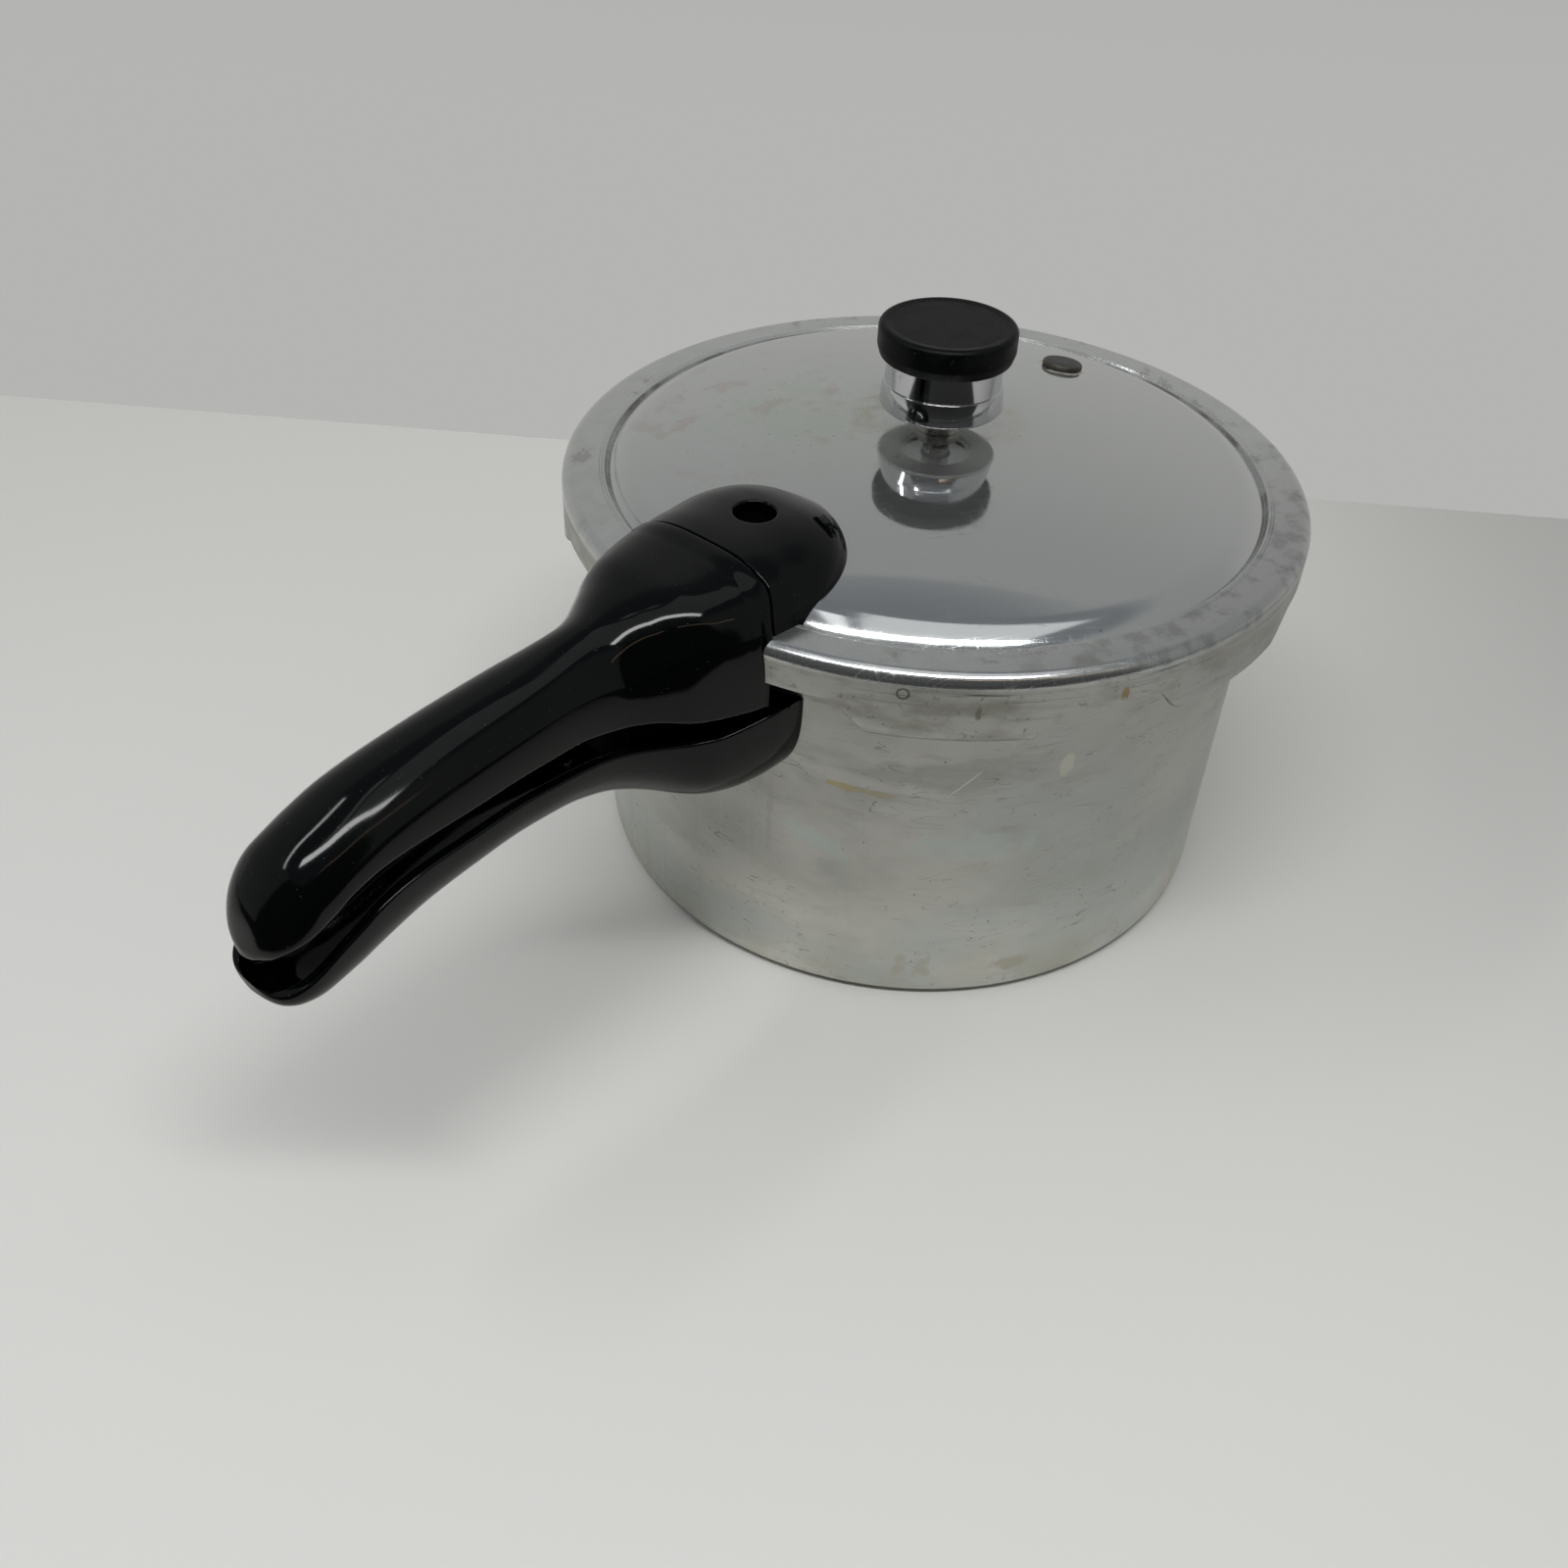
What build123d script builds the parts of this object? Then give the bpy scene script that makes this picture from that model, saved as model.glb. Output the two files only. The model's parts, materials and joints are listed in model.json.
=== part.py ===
"""Stovetop pressure cooker: pot, bayonet cover, split handle, weighted regulator, cover lock and rack.

Sizes are in millimetres. The origin is the centre of the pot's base, on the surface it stands on.
+Z is up, and +X runs along the two halves of the handle.
"""
import os
from collections import namedtuple
from math import cos, pi, radians, sin, sqrt

from build123d import *

os.makedirs("parts", exist_ok=True)

# Clearances
running_gap = 0.3
bedding_gap = 0.1
hole_gap = 0.05

# Pot
pot_radius = 101.5
pot_wall = 2.5
pot_floor = 3.2
pot_height = 120.5
base_round = 6.0
floor_round = 4.0
rim_width = 2.5
rim_depth = 6.0
rim_round = 1.2

# Bayonet lugs on the pot and the cover
lug_count = 8
pot_lug_angle = 21.0
pot_lug_reach = 8.5
pot_lug_thickness = 6.0
pot_lug_drop = 10.1
lug_play = 0.8
lip_angle = 21.0
lip_thickness = 2.4
lip_clearance = 3.1
tab_top_angle = 32.0
tab_foot_angle = 22.0
lug_turn = -4.9
skirt_clearance = 0.8

# Sealing ring
seal_height = 5.2
seal_inset = 1.4
seal_overhang = 2.5
seal_slot_height = 1.6
seal_slot_depth = 4.0

# Cover
cover_wall = 2.2
shoulder_round = 3.5
skirt_drop = 12.0
crown_rise = 12.0
dome_edge_inset = 8.3
dome_edge_rise = 3.3
groove_inset = 13.7
groove_depth = 1.1
groove_width = 0.9

# Vent pipe, its washer and nut
vent_radius = 4.0
vent_bore_radius = 1.6
vent_rise = 16.5
vent_tip_chamfer = 1.0
vent_flange_radius = 7.0
vent_flange_height = 3.0
vent_thread_length = 7.5
vent_washer_radius = 7.5
vent_washer_thickness = 1.0
vent_nut_flats = 13.0
vent_nut_height = 3.2

# Pressure regulator
regulator_lift_off = 7.5
weight_foot_radius = 18.6
weight_neck_radius = 17.3
weight_height = 15.0
weight_groove_height = 7.0
weight_groove_depth = 0.6
weight_groove_width = 0.8
weight_bore_clearance = 0.6
weight_recess_radius = 11.0
weight_recess_depth = 2.0
seat_radius = 6.0
seat_height = 3.0
cap_radius = 20.3
cap_height = 9.5
cap_round = 3.0
cap_spigot_radius = 9.0
cap_spigot_depth = 2.0

# Overpressure plug
plug_inset = 39.0
plug_azimuth = 182.7
plug_neck_radius = 4.5
plug_head_radius = 6.6
plug_head_height = 2.0
plug_tail_radius = 6.0
plug_tail_height = 2.6
plug_head_round = 0.8

# Cover lock: pin, cap, gasket and the keyed bracket inside the pot
lock_inset = 31.1
pin_radius = 2.75
pin_head_radius = 6.0
pin_head_height = 2.5
pin_hole_clearance = 0.65
pin_travel = 5.0
pin_stop_margin = 0.7
pin_cap_radius = 4.0
pin_cap_height = 2.3
pin_cap_skin = 0.7
gasket_radius = 5.8
gasket_thickness = 1.5
lock_plate = 1.2
key_hole_clearance = 1.0
key_slot_clearance = 0.85
key_tab_margin = 4.0
key_tab_start_angle = 9.5
key_tab_end_angle = 11.0
key_tab_clearance = 1.4
lock_foot_drop = 12.5
lock_foot_height = 24.0
lock_foot_angle = 24.0
lock_foot_thickness = 1.8
lock_arm_half_width = 9.0

# Handle brackets, rivets and screws
bracket_thickness = 1.8
bracket_half_angle = 11.0
pot_bracket_drop = 18.0
pot_bracket_height = 15.0
tongue_half_width = 9.0
tongue_thickness = 2.5
pot_tongue_rise = 4.0
pot_tongue_length = 37.0
pot_screw_offset = 26.5
cover_bracket_drop = 4.5
cover_bracket_height = 9.0
cover_tongue_length = 30.0
cover_screw_offset = 20.0
rivet_radius = 2.0
rivet_head_radius = 3.4
rivet_head_height = 1.0
rivet_angle = 8.0
pot_rivet_rises = (4.0, 11.0)
cover_rivet_drop = 8.0
head_lift = 0.12
screw_radius = 2.5
screw_head_radius = 4.6
screw_head_height = 2.8
screw_slot_width = 1.2
screw_slot_depth = 1.2
screw_tail = 6.0
washer_radius = 5.4
washer_thickness = 0.8
boss_radius = 6.5
boss_length = 8.0
cover_boss_length = 19.3
counterbore_clearance = 0.8
pocket_margin_angle = 0.5

# Handles: profile heights are measured up from the shoulder, offsets outwards from the skirt,
# and insets from the end of a nose or a tip
grip_half_width = 14.0
nose_half_width = 29.7
nose_length = 55.7
nose_round_length = 29.7
upper_tip = 135.6
upper_tip_round = 13.6
lower_tip = 136.4
lower_tip_round = 14.4
end_plan_fullness = 2.0
nose_fullness = 3.0
grip_fullness = 2.3
tray_fullness = 2.5
trough_fullness = 3.5
arch_steps = 6
trough_half_width = 10.5
trough_skin = 4.5
trough_end_wall = 7.0
seam_setback = 11.5
seam_width = 1.0
seam_depth = 0.7
window_clearance = 1.9
# Inset, crown and foot of the upper handle's nose
upper_nose_profile = (
    (0.5, 9.5, 1.5),
    (3.0, 11.0, 0.5),
    (8.0, 13.4, -1.5),
    (16.0, 15.3, -4.5),
    (24.0, 15.8, -6.5),
    (29.7, 15.9, -8.5),
)
# Offset, half width, crown, foot and fullness of the upper handle
upper_body_profile = (
    (-18.0, 29.7, 15.7, -12.0, 3.0),
    (-11.5, 29.7, 15.4, -16.5, 3.1),
    (-5.0, 29.6, 14.9, -20.1, 3.2),
    (0.0, 28.4, 14.4, -20.2, 3.3),
    (5.0, 26.7, 13.9, -19.9, 3.3),
    (10.0, 24.9, 13.3, -19.4, 3.2),
    (14.5, 23.0, 12.4, -18.8, 2.9),
    (19.0, 20.4, 11.3, -17.7, 2.6),
    (23.5, 18.0, 10.2, -16.5, 2.4),
    (28.0, 16.2, 9.2, -15.6, 2.2),
    (33.0, 15.0, 8.5, -14.7, 2.1),
    (40.0, 14.3, 7.7, -13.4, 2.1),
    (47.0, 14.0, 7.0, -12.5, 2.2),
    (63.0, 14.0, 5.8, -12.3, 2.3),
    (81.0, 14.0, 4.3, -13.1, 2.3),
    (93.7, 14.0, 2.5, -13.5, 2.3),
    (103.5, 14.0, 0.4, -14.4, 2.3),
    (113.4, 14.0, -3.2, -17.2, 2.3),
    (118.6, 14.0, -5.3, -20.0, 2.3),
)
# Inset, crown and foot of the upper handle's tip
upper_tip_profile = (
    (13.0, -7.1, -21.8),
    (9.0, -10.6, -23.9),
    (5.0, -14.6, -26.3),
    (2.0, -19.0, -28.0),
    (0.5, -24.5, -28.5),
)
# Offset, half width, belly, rim and fullness of the lower handle
lower_body_profile = (
    (-23.0, 33.0, -52.0, -22.2, 3.3),
    (-16.0, 31.9, -52.8, -22.4, 3.3),
    (-11.0, 30.7, -53.8, -23.2, 3.3),
    (-5.5, 29.0, -54.3, -24.3, 3.4),
    (1.0, 26.9, -53.9, -25.6, 3.4),
    (8.3, 24.2, -52.0, -26.5, 3.2),
    (13.0, 21.8, -49.9, -26.5, 3.0),
    (18.0, 19.3, -47.4, -26.0, 2.7),
    (23.0, 17.3, -44.7, -25.1, 2.6),
    (28.6, 15.7, -41.9, -23.8, 2.5),
    (34.0, 14.7, -39.7, -22.7, 2.4),
    (40.0, 14.2, -37.6, -21.6, 2.4),
    (53.5, 14.0, -34.9, -20.3, 2.5),
    (63.5, 14.0, -34.2, -19.7, 2.5),
    (81.8, 14.0, -35.6, -20.6, 2.5),
    (91.0, 14.0, -37.3, -21.1, 2.5),
    (100.0, 14.0, -39.6, -22.3, 2.5),
    (107.6, 14.0, -42.0, -24.6, 2.5),
    (113.0, 14.0, -43.7, -27.3, 2.5),
    (118.0, 14.0, -45.0, -29.8, 2.5),
)
# Inset, belly and rim of the lower handle's tip
lower_tip_profile = (
    (12.4, -45.6, -33.3),
    (7.4, -45.1, -36.3),
    (3.4, -44.0, -38.9),
    (0.8, -42.4, -39.8),
)

# Cooking rack
rack_clearance = 11.0
rack_sheet = 1.4
rack_height = 9.0
rack_hole_radius = 5.0
rack_first_ring = 26.0
rack_ring_pitch = 22.0
rack_ring_count = 3
rack_first_ring_holes = 6

# Places that follow from the sizes above
pot_inner_radius = pot_radius - pot_wall
rim_radius = pot_radius + rim_width
pot_lug_radius = pot_radius + pot_lug_reach
pot_lug_foot = pot_height - pot_lug_drop
skirt_inner_radius = pot_lug_radius + skirt_clearance
cover_radius = skirt_inner_radius + cover_wall
groove_radius = cover_radius - groove_inset
dome_edge_radius = groove_radius - dome_edge_inset
lock_place_radius = cover_radius - lock_inset
plug_place_radius = cover_radius - plug_inset
rack_radius = pot_inner_radius - rack_clearance
lip_top = pot_lug_foot - lug_play
lip_foot = lip_top - lip_thickness
lip_radius = pot_radius + lip_clearance
seal_foot = pot_height + running_gap
seal_top = seal_foot + seal_height
shoulder_inner = seal_top + running_gap
shoulder_height = shoulder_inner + cover_wall
skirt_foot = shoulder_height - skirt_drop
crown_height = shoulder_height + crown_rise
crown_drop = crown_rise - dome_edge_rise
dome_radius = (dome_edge_radius**2 + crown_drop**2) / (2 * crown_drop)
vent_hole_radius = vent_radius + hole_gap
regulator_foot = crown_height + regulator_lift_off
vent_top = crown_height + vent_rise
seat_foot = vent_top + running_gap
weight_top = regulator_foot + weight_height


def dome_height(radius):
    """Height of the cover's outer dome at a distance from the axis."""
    return crown_height - dome_radius + sqrt(dome_radius**2 - radius**2)


def dome_slope(radius):
    """Outward tilt of the dome's normal, as its sine."""
    return radius / dome_radius


pin_hole_radius = pin_radius + pin_hole_clearance
gasket_edge_radius = lock_place_radius + gasket_radius
gasket_stop = dome_height(gasket_edge_radius) - cover_wall / sqrt(1 - dome_slope(gasket_edge_radius) ** 2)
gasket_top = gasket_stop - pin_travel - pin_stop_margin
pin_head_top = gasket_top - gasket_thickness - hole_gap
key_tab_foot = gasket_top + key_tab_clearance
pin_cap_foot = dome_height(lock_place_radius - pin_cap_radius) + running_gap
lock_foot_radius = pot_inner_radius - hole_gap
lock_foot_high = pot_height - lock_foot_drop
lock_foot_low = lock_foot_high - lock_foot_height
pot_bracket_high = pot_height - pot_bracket_drop
pot_bracket_low = pot_bracket_high - pot_bracket_height
pot_tongue_height = pot_bracket_low + pot_tongue_rise
pot_rivet_heights = [pot_bracket_low + rise for rise in pot_rivet_rises]
bracket_radius = pot_radius + hole_gap
cover_bracket_radius = cover_radius + hole_gap
cover_bracket_top = shoulder_height - cover_bracket_drop
cover_bracket_foot = cover_bracket_top - cover_bracket_height
pot_screw_place = pot_radius + pot_screw_offset
cover_screw_place = cover_radius + cover_screw_offset
window_radius = pin_cap_radius + window_clearance


def upright_plane(azimuth):
    """Vertical plane through the axis: local x points outwards at the azimuth, local y up."""
    turn = radians(azimuth)
    return Plane(origin=(0, 0, 0), x_dir=(cos(turn), sin(turn), 0), z_dir=(sin(turn), -cos(turn), 0))


def facing_plane(azimuth, radius, height):
    """Plane that faces outwards at a place on a cylinder about the axis."""
    turn = radians(azimuth)
    outward = (cos(turn), sin(turn), 0)
    place = (radius * outward[0], radius * outward[1], height)
    return Plane(origin=place, x_dir=(-sin(turn), cos(turn), 0), z_dir=outward)


def ring(inner, outer, foot, top, start=0.0, arc=360.0, mode=Mode.ADD):
    """Ring, or an arc of one from a start azimuth, between two radii and two heights."""
    with BuildSketch(upright_plane(start)) as section:
        with Locations(((inner + outer) / 2, (foot + top) / 2)):
            Rectangle(outer - inner, top - foot)
    revolve(section.sketch, axis=Axis.Z, revolution_arc=arc, mode=mode)


def disc(plane, radius, amount, mode=Mode.ADD):
    """Round disc, or hole, from a plane along its normal."""
    with BuildSketch(plane) as face:
        Circle(radius)
    extrude(face.sketch, amount=amount, mode=mode)


def level_plane(along, height):
    """Level plane with its origin on the handles' centre line."""
    return Plane(origin=(along, 0, height))


def cover_outline(gap, foot):
    """Sketch the cover's outside, grown by a gap, as a closed half section down to a foot height."""
    edge = (dome_edge_radius, shoulder_height + dome_edge_rise + gap)
    valley = (groove_radius, shoulder_height - groove_depth + gap)
    with BuildSketch(Plane.XZ) as section:
        with BuildLine():
            dome = TangentArc((0, crown_height + gap), edge, tangent=(1, 0))
            rim = TangentArc(edge, valley, tangent=dome % 1)
            shoulder = Line(rim @ 1, (groove_radius + groove_width, shoulder_height + gap))
            flat = Line(shoulder @ 1, (cover_radius - shoulder_round, shoulder_height + gap))
            turn_end = (cover_radius + gap, shoulder_height - shoulder_round)
            turn = TangentArc(flat @ 1, turn_end, tangent=(1, 0))
            skirt = Line(turn @ 1, (cover_radius + gap, foot))
            base = Line(skirt @ 1, (0, foot))
            Line(base @ 1, dome @ 0)
        make_face()
    return section.sketch


def cover_lining():
    """Sketch the hollow under the cover as a closed half section."""
    edge_fall = cover_wall * sqrt(1 - dome_slope(dome_edge_radius) ** 2)
    edge_inset = cover_wall * dome_slope(dome_edge_radius)
    edge = (dome_edge_radius - edge_inset, shoulder_height + dome_edge_rise - edge_fall)
    with BuildSketch(Plane.XZ) as section:
        with BuildLine():
            dome = TangentArc((0, crown_height - cover_wall), edge, tangent=(1, 0))
            rim = TangentArc(edge, (groove_radius - cover_wall, shoulder_inner), tangent=dome % 1)
            flat = Line(rim @ 1, (skirt_inner_radius, shoulder_inner))
            skirt = Line(flat @ 1, (skirt_inner_radius, skirt_foot - lug_play))
            base = Line(skirt @ 1, (0, skirt_foot - lug_play))
            Line(base @ 1, dome @ 0)
        make_face()
    return section.sketch


def screw(place, seat, length):
    """Slotted screw on a vertical axis, with its head under the seat height and its shank above."""
    head_foot = seat - screw_head_height
    disc(level_plane(place, seat), screw_head_radius, -screw_head_height)
    with BuildSketch(level_plane(place, head_foot)) as slot:
        Rectangle(2 * screw_head_radius, screw_slot_width)
    extrude(slot.sketch, amount=screw_slot_depth, mode=Mode.SUBTRACT)
    disc(level_plane(place, seat), screw_radius, length)


def washer(place, foot, outer, bore, thickness):
    """Flat washer on a vertical axis, standing on a foot height."""
    disc(level_plane(place, foot), outer, thickness)
    disc(level_plane(place, foot), bore, thickness, Mode.SUBTRACT)


def rivet(azimuth, height, inner, outer):
    """Radial rivet whose heads sit against an inner and an outer cylinder."""
    inner_seat = facing_plane(azimuth, inner - head_lift, height)
    outer_seat = facing_plane(azimuth, outer + head_lift, height)
    disc(inner_seat, rivet_radius, outer - inner + 2 * head_lift)
    disc(inner_seat, rivet_head_radius, -rivet_head_height)
    disc(outer_seat, rivet_head_radius, rivet_head_height)


def rivet_holes(heights, inner, outer):
    """Radial holes for a pair of rivets at each height, through what lies between two radii."""
    for height in heights:
        for azimuth in (-rivet_angle, rivet_angle):
            place = facing_plane(azimuth, inner, height)
            disc(place, rivet_radius + hole_gap, outer - inner, Mode.SUBTRACT)


def tongue(root, length, screw_place, height):
    """Flat tongue along the handles, rooted in a bracket's plate, with its screw hole."""
    with BuildSketch(Plane.XY.offset(height)) as plan:
        with Locations(((root + length) / 2, 0)):
            Rectangle(root + length, 2 * tongue_half_width)
        Circle(root, mode=Mode.SUBTRACT)
        with Locations((screw_place, 0)):
            Circle(screw_radius + hole_gap, mode=Mode.SUBTRACT)
    extrude(plan.sketch, amount=tongue_thickness)


HandleStation = namedtuple("HandleStation", "along half_width crown foot fullness")


def half_arch(station):
    """Points of half an arch, from its right foot up to its crown."""
    power = 2 / station.fullness
    rise = station.crown - station.foot
    points = []
    for step in range(arch_steps):
        angle = pi / 2 * step / arch_steps
        points.append((station.half_width * cos(angle) ** power, station.foot + rise * sin(angle) ** power))
    return points + [(0, station.crown)]


def handle_section(station):
    """Sketch an arch across the handle; a crown below its foot gives a trough."""
    upward = 1 if station.crown > station.foot else -1
    right = half_arch(station)
    left = [(-across, height) for across, height in reversed(right)]
    with BuildSketch(Plane.YZ.offset(station.along)) as section:
        with BuildLine():
            rise = Spline(*right, tangents=((0, upward), (-1, 0)))
            fall = Spline(*left, tangents=((-1, 0), (0, -upward)))
            Line(fall @ 1, rise @ 0)
        make_face()
    return section.sketch


def rounded_end(inset, round_length, half_width):
    """Half width of a plan that closes in a rounded end, at an inset from that end."""
    inside = max(0.0, 1 - inset / round_length)
    return half_width * (1 - inside**end_plan_fullness) ** (1 / end_plan_fullness)


def body_stations(profile):
    """Stations of a handle from rows of offset, half width, crown, foot and fullness."""
    return [
        HandleStation(
            cover_radius + offset,
            half_width,
            shoulder_height + crown,
            shoulder_height + foot,
            fullness,
        )
        for offset, half_width, crown, foot, fullness in profile
    ]


def end_stations(profile, tip, inward, round_length, half_width, fullness):
    """Stations of a rounded end from rows of inset, crown and foot; inward is the inset's sign."""
    return [
        HandleStation(
            tip + inward * inset,
            rounded_end(inset, round_length, half_width),
            shoulder_height + crown,
            shoulder_height + foot,
            fullness,
        )
        for inset, crown, foot in profile
    ]


def upper_stations():
    """Cover handle, from its nose over the dome to its tip."""
    nose_place = cover_radius - nose_length
    nose = end_stations(
        upper_nose_profile,
        nose_place,
        1,
        nose_round_length,
        nose_half_width,
        nose_fullness,
    )
    tip_place = cover_radius + upper_tip
    tip = end_stations(upper_tip_profile, tip_place, -1, upper_tip_round, grip_half_width, grip_fullness)
    return nose + body_stations(upper_body_profile) + tip


def lower_stations():
    """Pot handle, from inside the wall to its tip."""
    tip_place = cover_radius + lower_tip
    tip = end_stations(lower_tip_profile, tip_place, -1, lower_tip_round, grip_half_width, tray_fullness)
    return body_stations(lower_body_profile) + tip


def trough_stations(stations, first, last):
    """Sections of the hollow inside a handle: a skin below the crown, and out past the open side."""
    hollow = []
    for station in stations:
        if first <= station.along <= last:
            depth = trough_skin if station.crown > station.foot else -trough_skin
            mouth = station.foot - 2 * depth
            crown = station.crown - depth
            hollow.append(HandleStation(station.along, trough_half_width, crown, mouth, trough_fullness))
    return hollow


# Pot
with BuildPart() as pot_body:
    with BuildSketch(Plane.XZ):
        with BuildLine():
            under = Line((0, 0), (pot_radius - base_round, 0))
            heel = TangentArc(under @ 1, (pot_radius, base_round), tangent=(1, 0))
            side = Line(heel @ 1, (pot_radius, pot_height - rim_depth - rim_width))
            flare = Line(side @ 1, (rim_radius, pot_height - rim_depth))
            bead = Line(flare @ 1, (rim_radius, pot_height))
            lip = Line(bead @ 1, (pot_inner_radius, pot_height))
            inside = Line(lip @ 1, (pot_inner_radius, pot_floor + floor_round))
            corner = TangentArc(inside @ 1, (pot_inner_radius - floor_round, pot_floor), tangent=(0, -1))
            floor = Line(corner @ 1, (0, pot_floor))
            Line(floor @ 1, under @ 0)
        make_face()
    revolve(axis=Axis.Z)
    fillet(pot_body.edges().filter_by(GeomType.CIRCLE).group_by(Axis.Z)[-1], rim_round)
    for lug in range(lug_count):
        lug_start = lug_turn + lug * 360 / lug_count - pot_lug_angle / 2
        lug_root = pot_radius - pot_wall / 2
        lug_top = pot_lug_foot + pot_lug_thickness
        ring(lug_root, pot_lug_radius, pot_lug_foot, lug_top, lug_start, pot_lug_angle)
    rivet_holes(pot_rivet_heights, pot_inner_radius - pot_wall, pot_radius + pot_wall)
pot_body.part.label = "pot_body"
export_step(pot_body.part, "parts/pot_body.step")

# Bracket on the outside of the pot, with the tongue that carries the lower handle
bracket_outer = bracket_radius + bracket_thickness
pot_tongue_root = bracket_radius + bracket_thickness / 2
with BuildPart() as handle_bracket:
    ring(
        bracket_radius,
        bracket_outer,
        pot_bracket_low,
        pot_bracket_high,
        -bracket_half_angle,
        2 * bracket_half_angle,
    )
    tongue(pot_tongue_root, pot_tongue_length, pot_screw_place, pot_tongue_height)
    rivet_holes(pot_rivet_heights, pot_radius - pot_wall, bracket_outer + bracket_thickness)
handle_bracket.part.label = "handle_bracket"
export_step(handle_bracket.part, "parts/handle_bracket.step")

# Keyed bracket inside the pot that holds the cover lock's pin while it is up
key_hole_radius = pin_head_radius + key_hole_clearance
key_slot_half = pin_radius + key_slot_clearance
tab_inner = lock_place_radius - key_hole_radius - key_tab_margin
tab_outer = lock_place_radius + key_hole_radius + key_tab_margin
lock_foot_inner = lock_foot_radius - lock_foot_thickness
with BuildPart() as lock_bracket:
    ring(
        lock_foot_inner,
        lock_foot_radius,
        lock_foot_low,
        lock_foot_high,
        -lock_foot_angle / 2,
        lock_foot_angle,
    )
    with BuildSketch(Plane.XZ.offset(-lock_arm_half_width)):
        with BuildLine():
            Polyline(
                (lock_foot_radius - lock_foot_thickness / 2, lock_foot_high - lock_foot_thickness),
                (lock_foot_radius - lock_foot_thickness / 2, lock_foot_high),
                (tab_outer, key_tab_foot + lock_plate),
                (tab_outer - lock_plate, key_tab_foot + lock_plate),
                (tab_outer - lock_plate, key_tab_foot),
                (lock_foot_inner, lock_foot_high - lock_foot_thickness),
                close=True,
            )
        make_face()
    extrude(amount=2 * lock_arm_half_width)
    ring(
        tab_inner,
        tab_outer,
        key_tab_foot,
        key_tab_foot + lock_plate,
        -key_tab_start_angle,
        key_tab_start_angle + key_tab_end_angle,
    )
    disc(level_plane(lock_place_radius, key_tab_foot), key_hole_radius, lock_plate, Mode.SUBTRACT)
    ring(
        lock_place_radius - key_slot_half,
        lock_place_radius + key_slot_half,
        key_tab_foot - lock_plate,
        key_tab_foot + 2 * lock_plate,
        arc=2 * key_tab_end_angle,
        mode=Mode.SUBTRACT,
    )
    rivet_holes(pot_rivet_heights, lock_foot_inner - lock_foot_thickness, pot_radius)
lock_bracket.part.label = "lock_bracket"
export_step(lock_bracket.part, "parts/lock_bracket.step")

with BuildPart() as bracket_rivets:
    for rivet_height in pot_rivet_heights:
        for rivet_azimuth in (-rivet_angle, rivet_angle):
            rivet(rivet_azimuth, rivet_height, lock_foot_inner, bracket_outer)
bracket_rivets.part.label = "bracket_rivets"
export_step(bracket_rivets.part, "parts/bracket_rivets.step")

# Lower handle: a trough that runs out in an open tip, bedded on the pot's wall
pot_screw_seat = pot_tongue_height - boss_length
pot_pocket_radius = bracket_outer + rivet_head_height + 2 * running_gap
pot_trough_end = cover_radius + lower_tip - trough_end_wall
with BuildPart() as body_handle:
    outside = lower_stations()
    hollow = trough_stations(outside, cover_radius, pot_trough_end)
    loft([handle_section(station) for station in outside])
    loft([handle_section(station) for station in hollow], mode=Mode.SUBTRACT)
    boss_plane = level_plane(pot_screw_place, pot_screw_seat)
    disc(boss_plane, boss_radius, boss_length)
    disc(boss_plane, washer_radius + counterbore_clearance, -boss_length - trough_skin, Mode.SUBTRACT)
    disc(boss_plane, screw_radius + 2 * hole_gap, boss_length, Mode.SUBTRACT)
    ring(0, pot_radius + bedding_gap, 0, pot_height, mode=Mode.SUBTRACT)
    ring(
        pot_radius,
        pot_pocket_radius,
        pot_bracket_low - running_gap,
        pot_height,
        -bracket_half_angle - pocket_margin_angle,
        2 * (bracket_half_angle + pocket_margin_angle),
        Mode.SUBTRACT,
    )
    slot_length = pot_tongue_root + pot_tongue_length + running_gap
    with BuildSketch(Plane.XY.offset(pot_tongue_height)):
        with Locations((slot_length / 2, 0)):
            Rectangle(slot_length, 2 * (tongue_half_width + running_gap))
    extrude(amount=pot_height, mode=Mode.SUBTRACT)
body_handle.part.label = "body_handle"
export_step(body_handle.part, "parts/body_handle.step")

pot_washer_foot = pot_screw_seat - washer_thickness
with BuildPart() as body_handle_washer:
    washer(pot_screw_place, pot_washer_foot, washer_radius, screw_radius + hole_gap, washer_thickness)
body_handle_washer.part.label = "body_handle_washer"
export_step(body_handle_washer.part, "parts/body_handle_washer.step")

with BuildPart() as body_handle_screw:
    shank = washer_thickness + boss_length + tongue_thickness + screw_radius
    screw(pot_screw_place, pot_washer_foot, shank)
body_handle_screw.part.label = "body_handle_screw"
export_step(body_handle_screw.part, "parts/body_handle_screw.step")

# Sealing ring between the pot's rim and the cover's shoulder
seal_inner_radius = pot_inner_radius - seal_inset
seal_outer_radius = rim_radius + seal_overhang
seal_middle = (seal_foot + seal_top) / 2
with BuildPart() as sealing_ring:
    ring(seal_inner_radius, seal_outer_radius, seal_foot, seal_top)
    ring(
        seal_inner_radius,
        seal_inner_radius + seal_slot_depth,
        seal_middle - seal_slot_height / 2,
        seal_middle + seal_slot_height / 2,
        mode=Mode.SUBTRACT,
    )
sealing_ring.part.label = "sealing_ring"
export_step(sealing_ring.part, "parts/sealing_ring.step")

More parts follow.
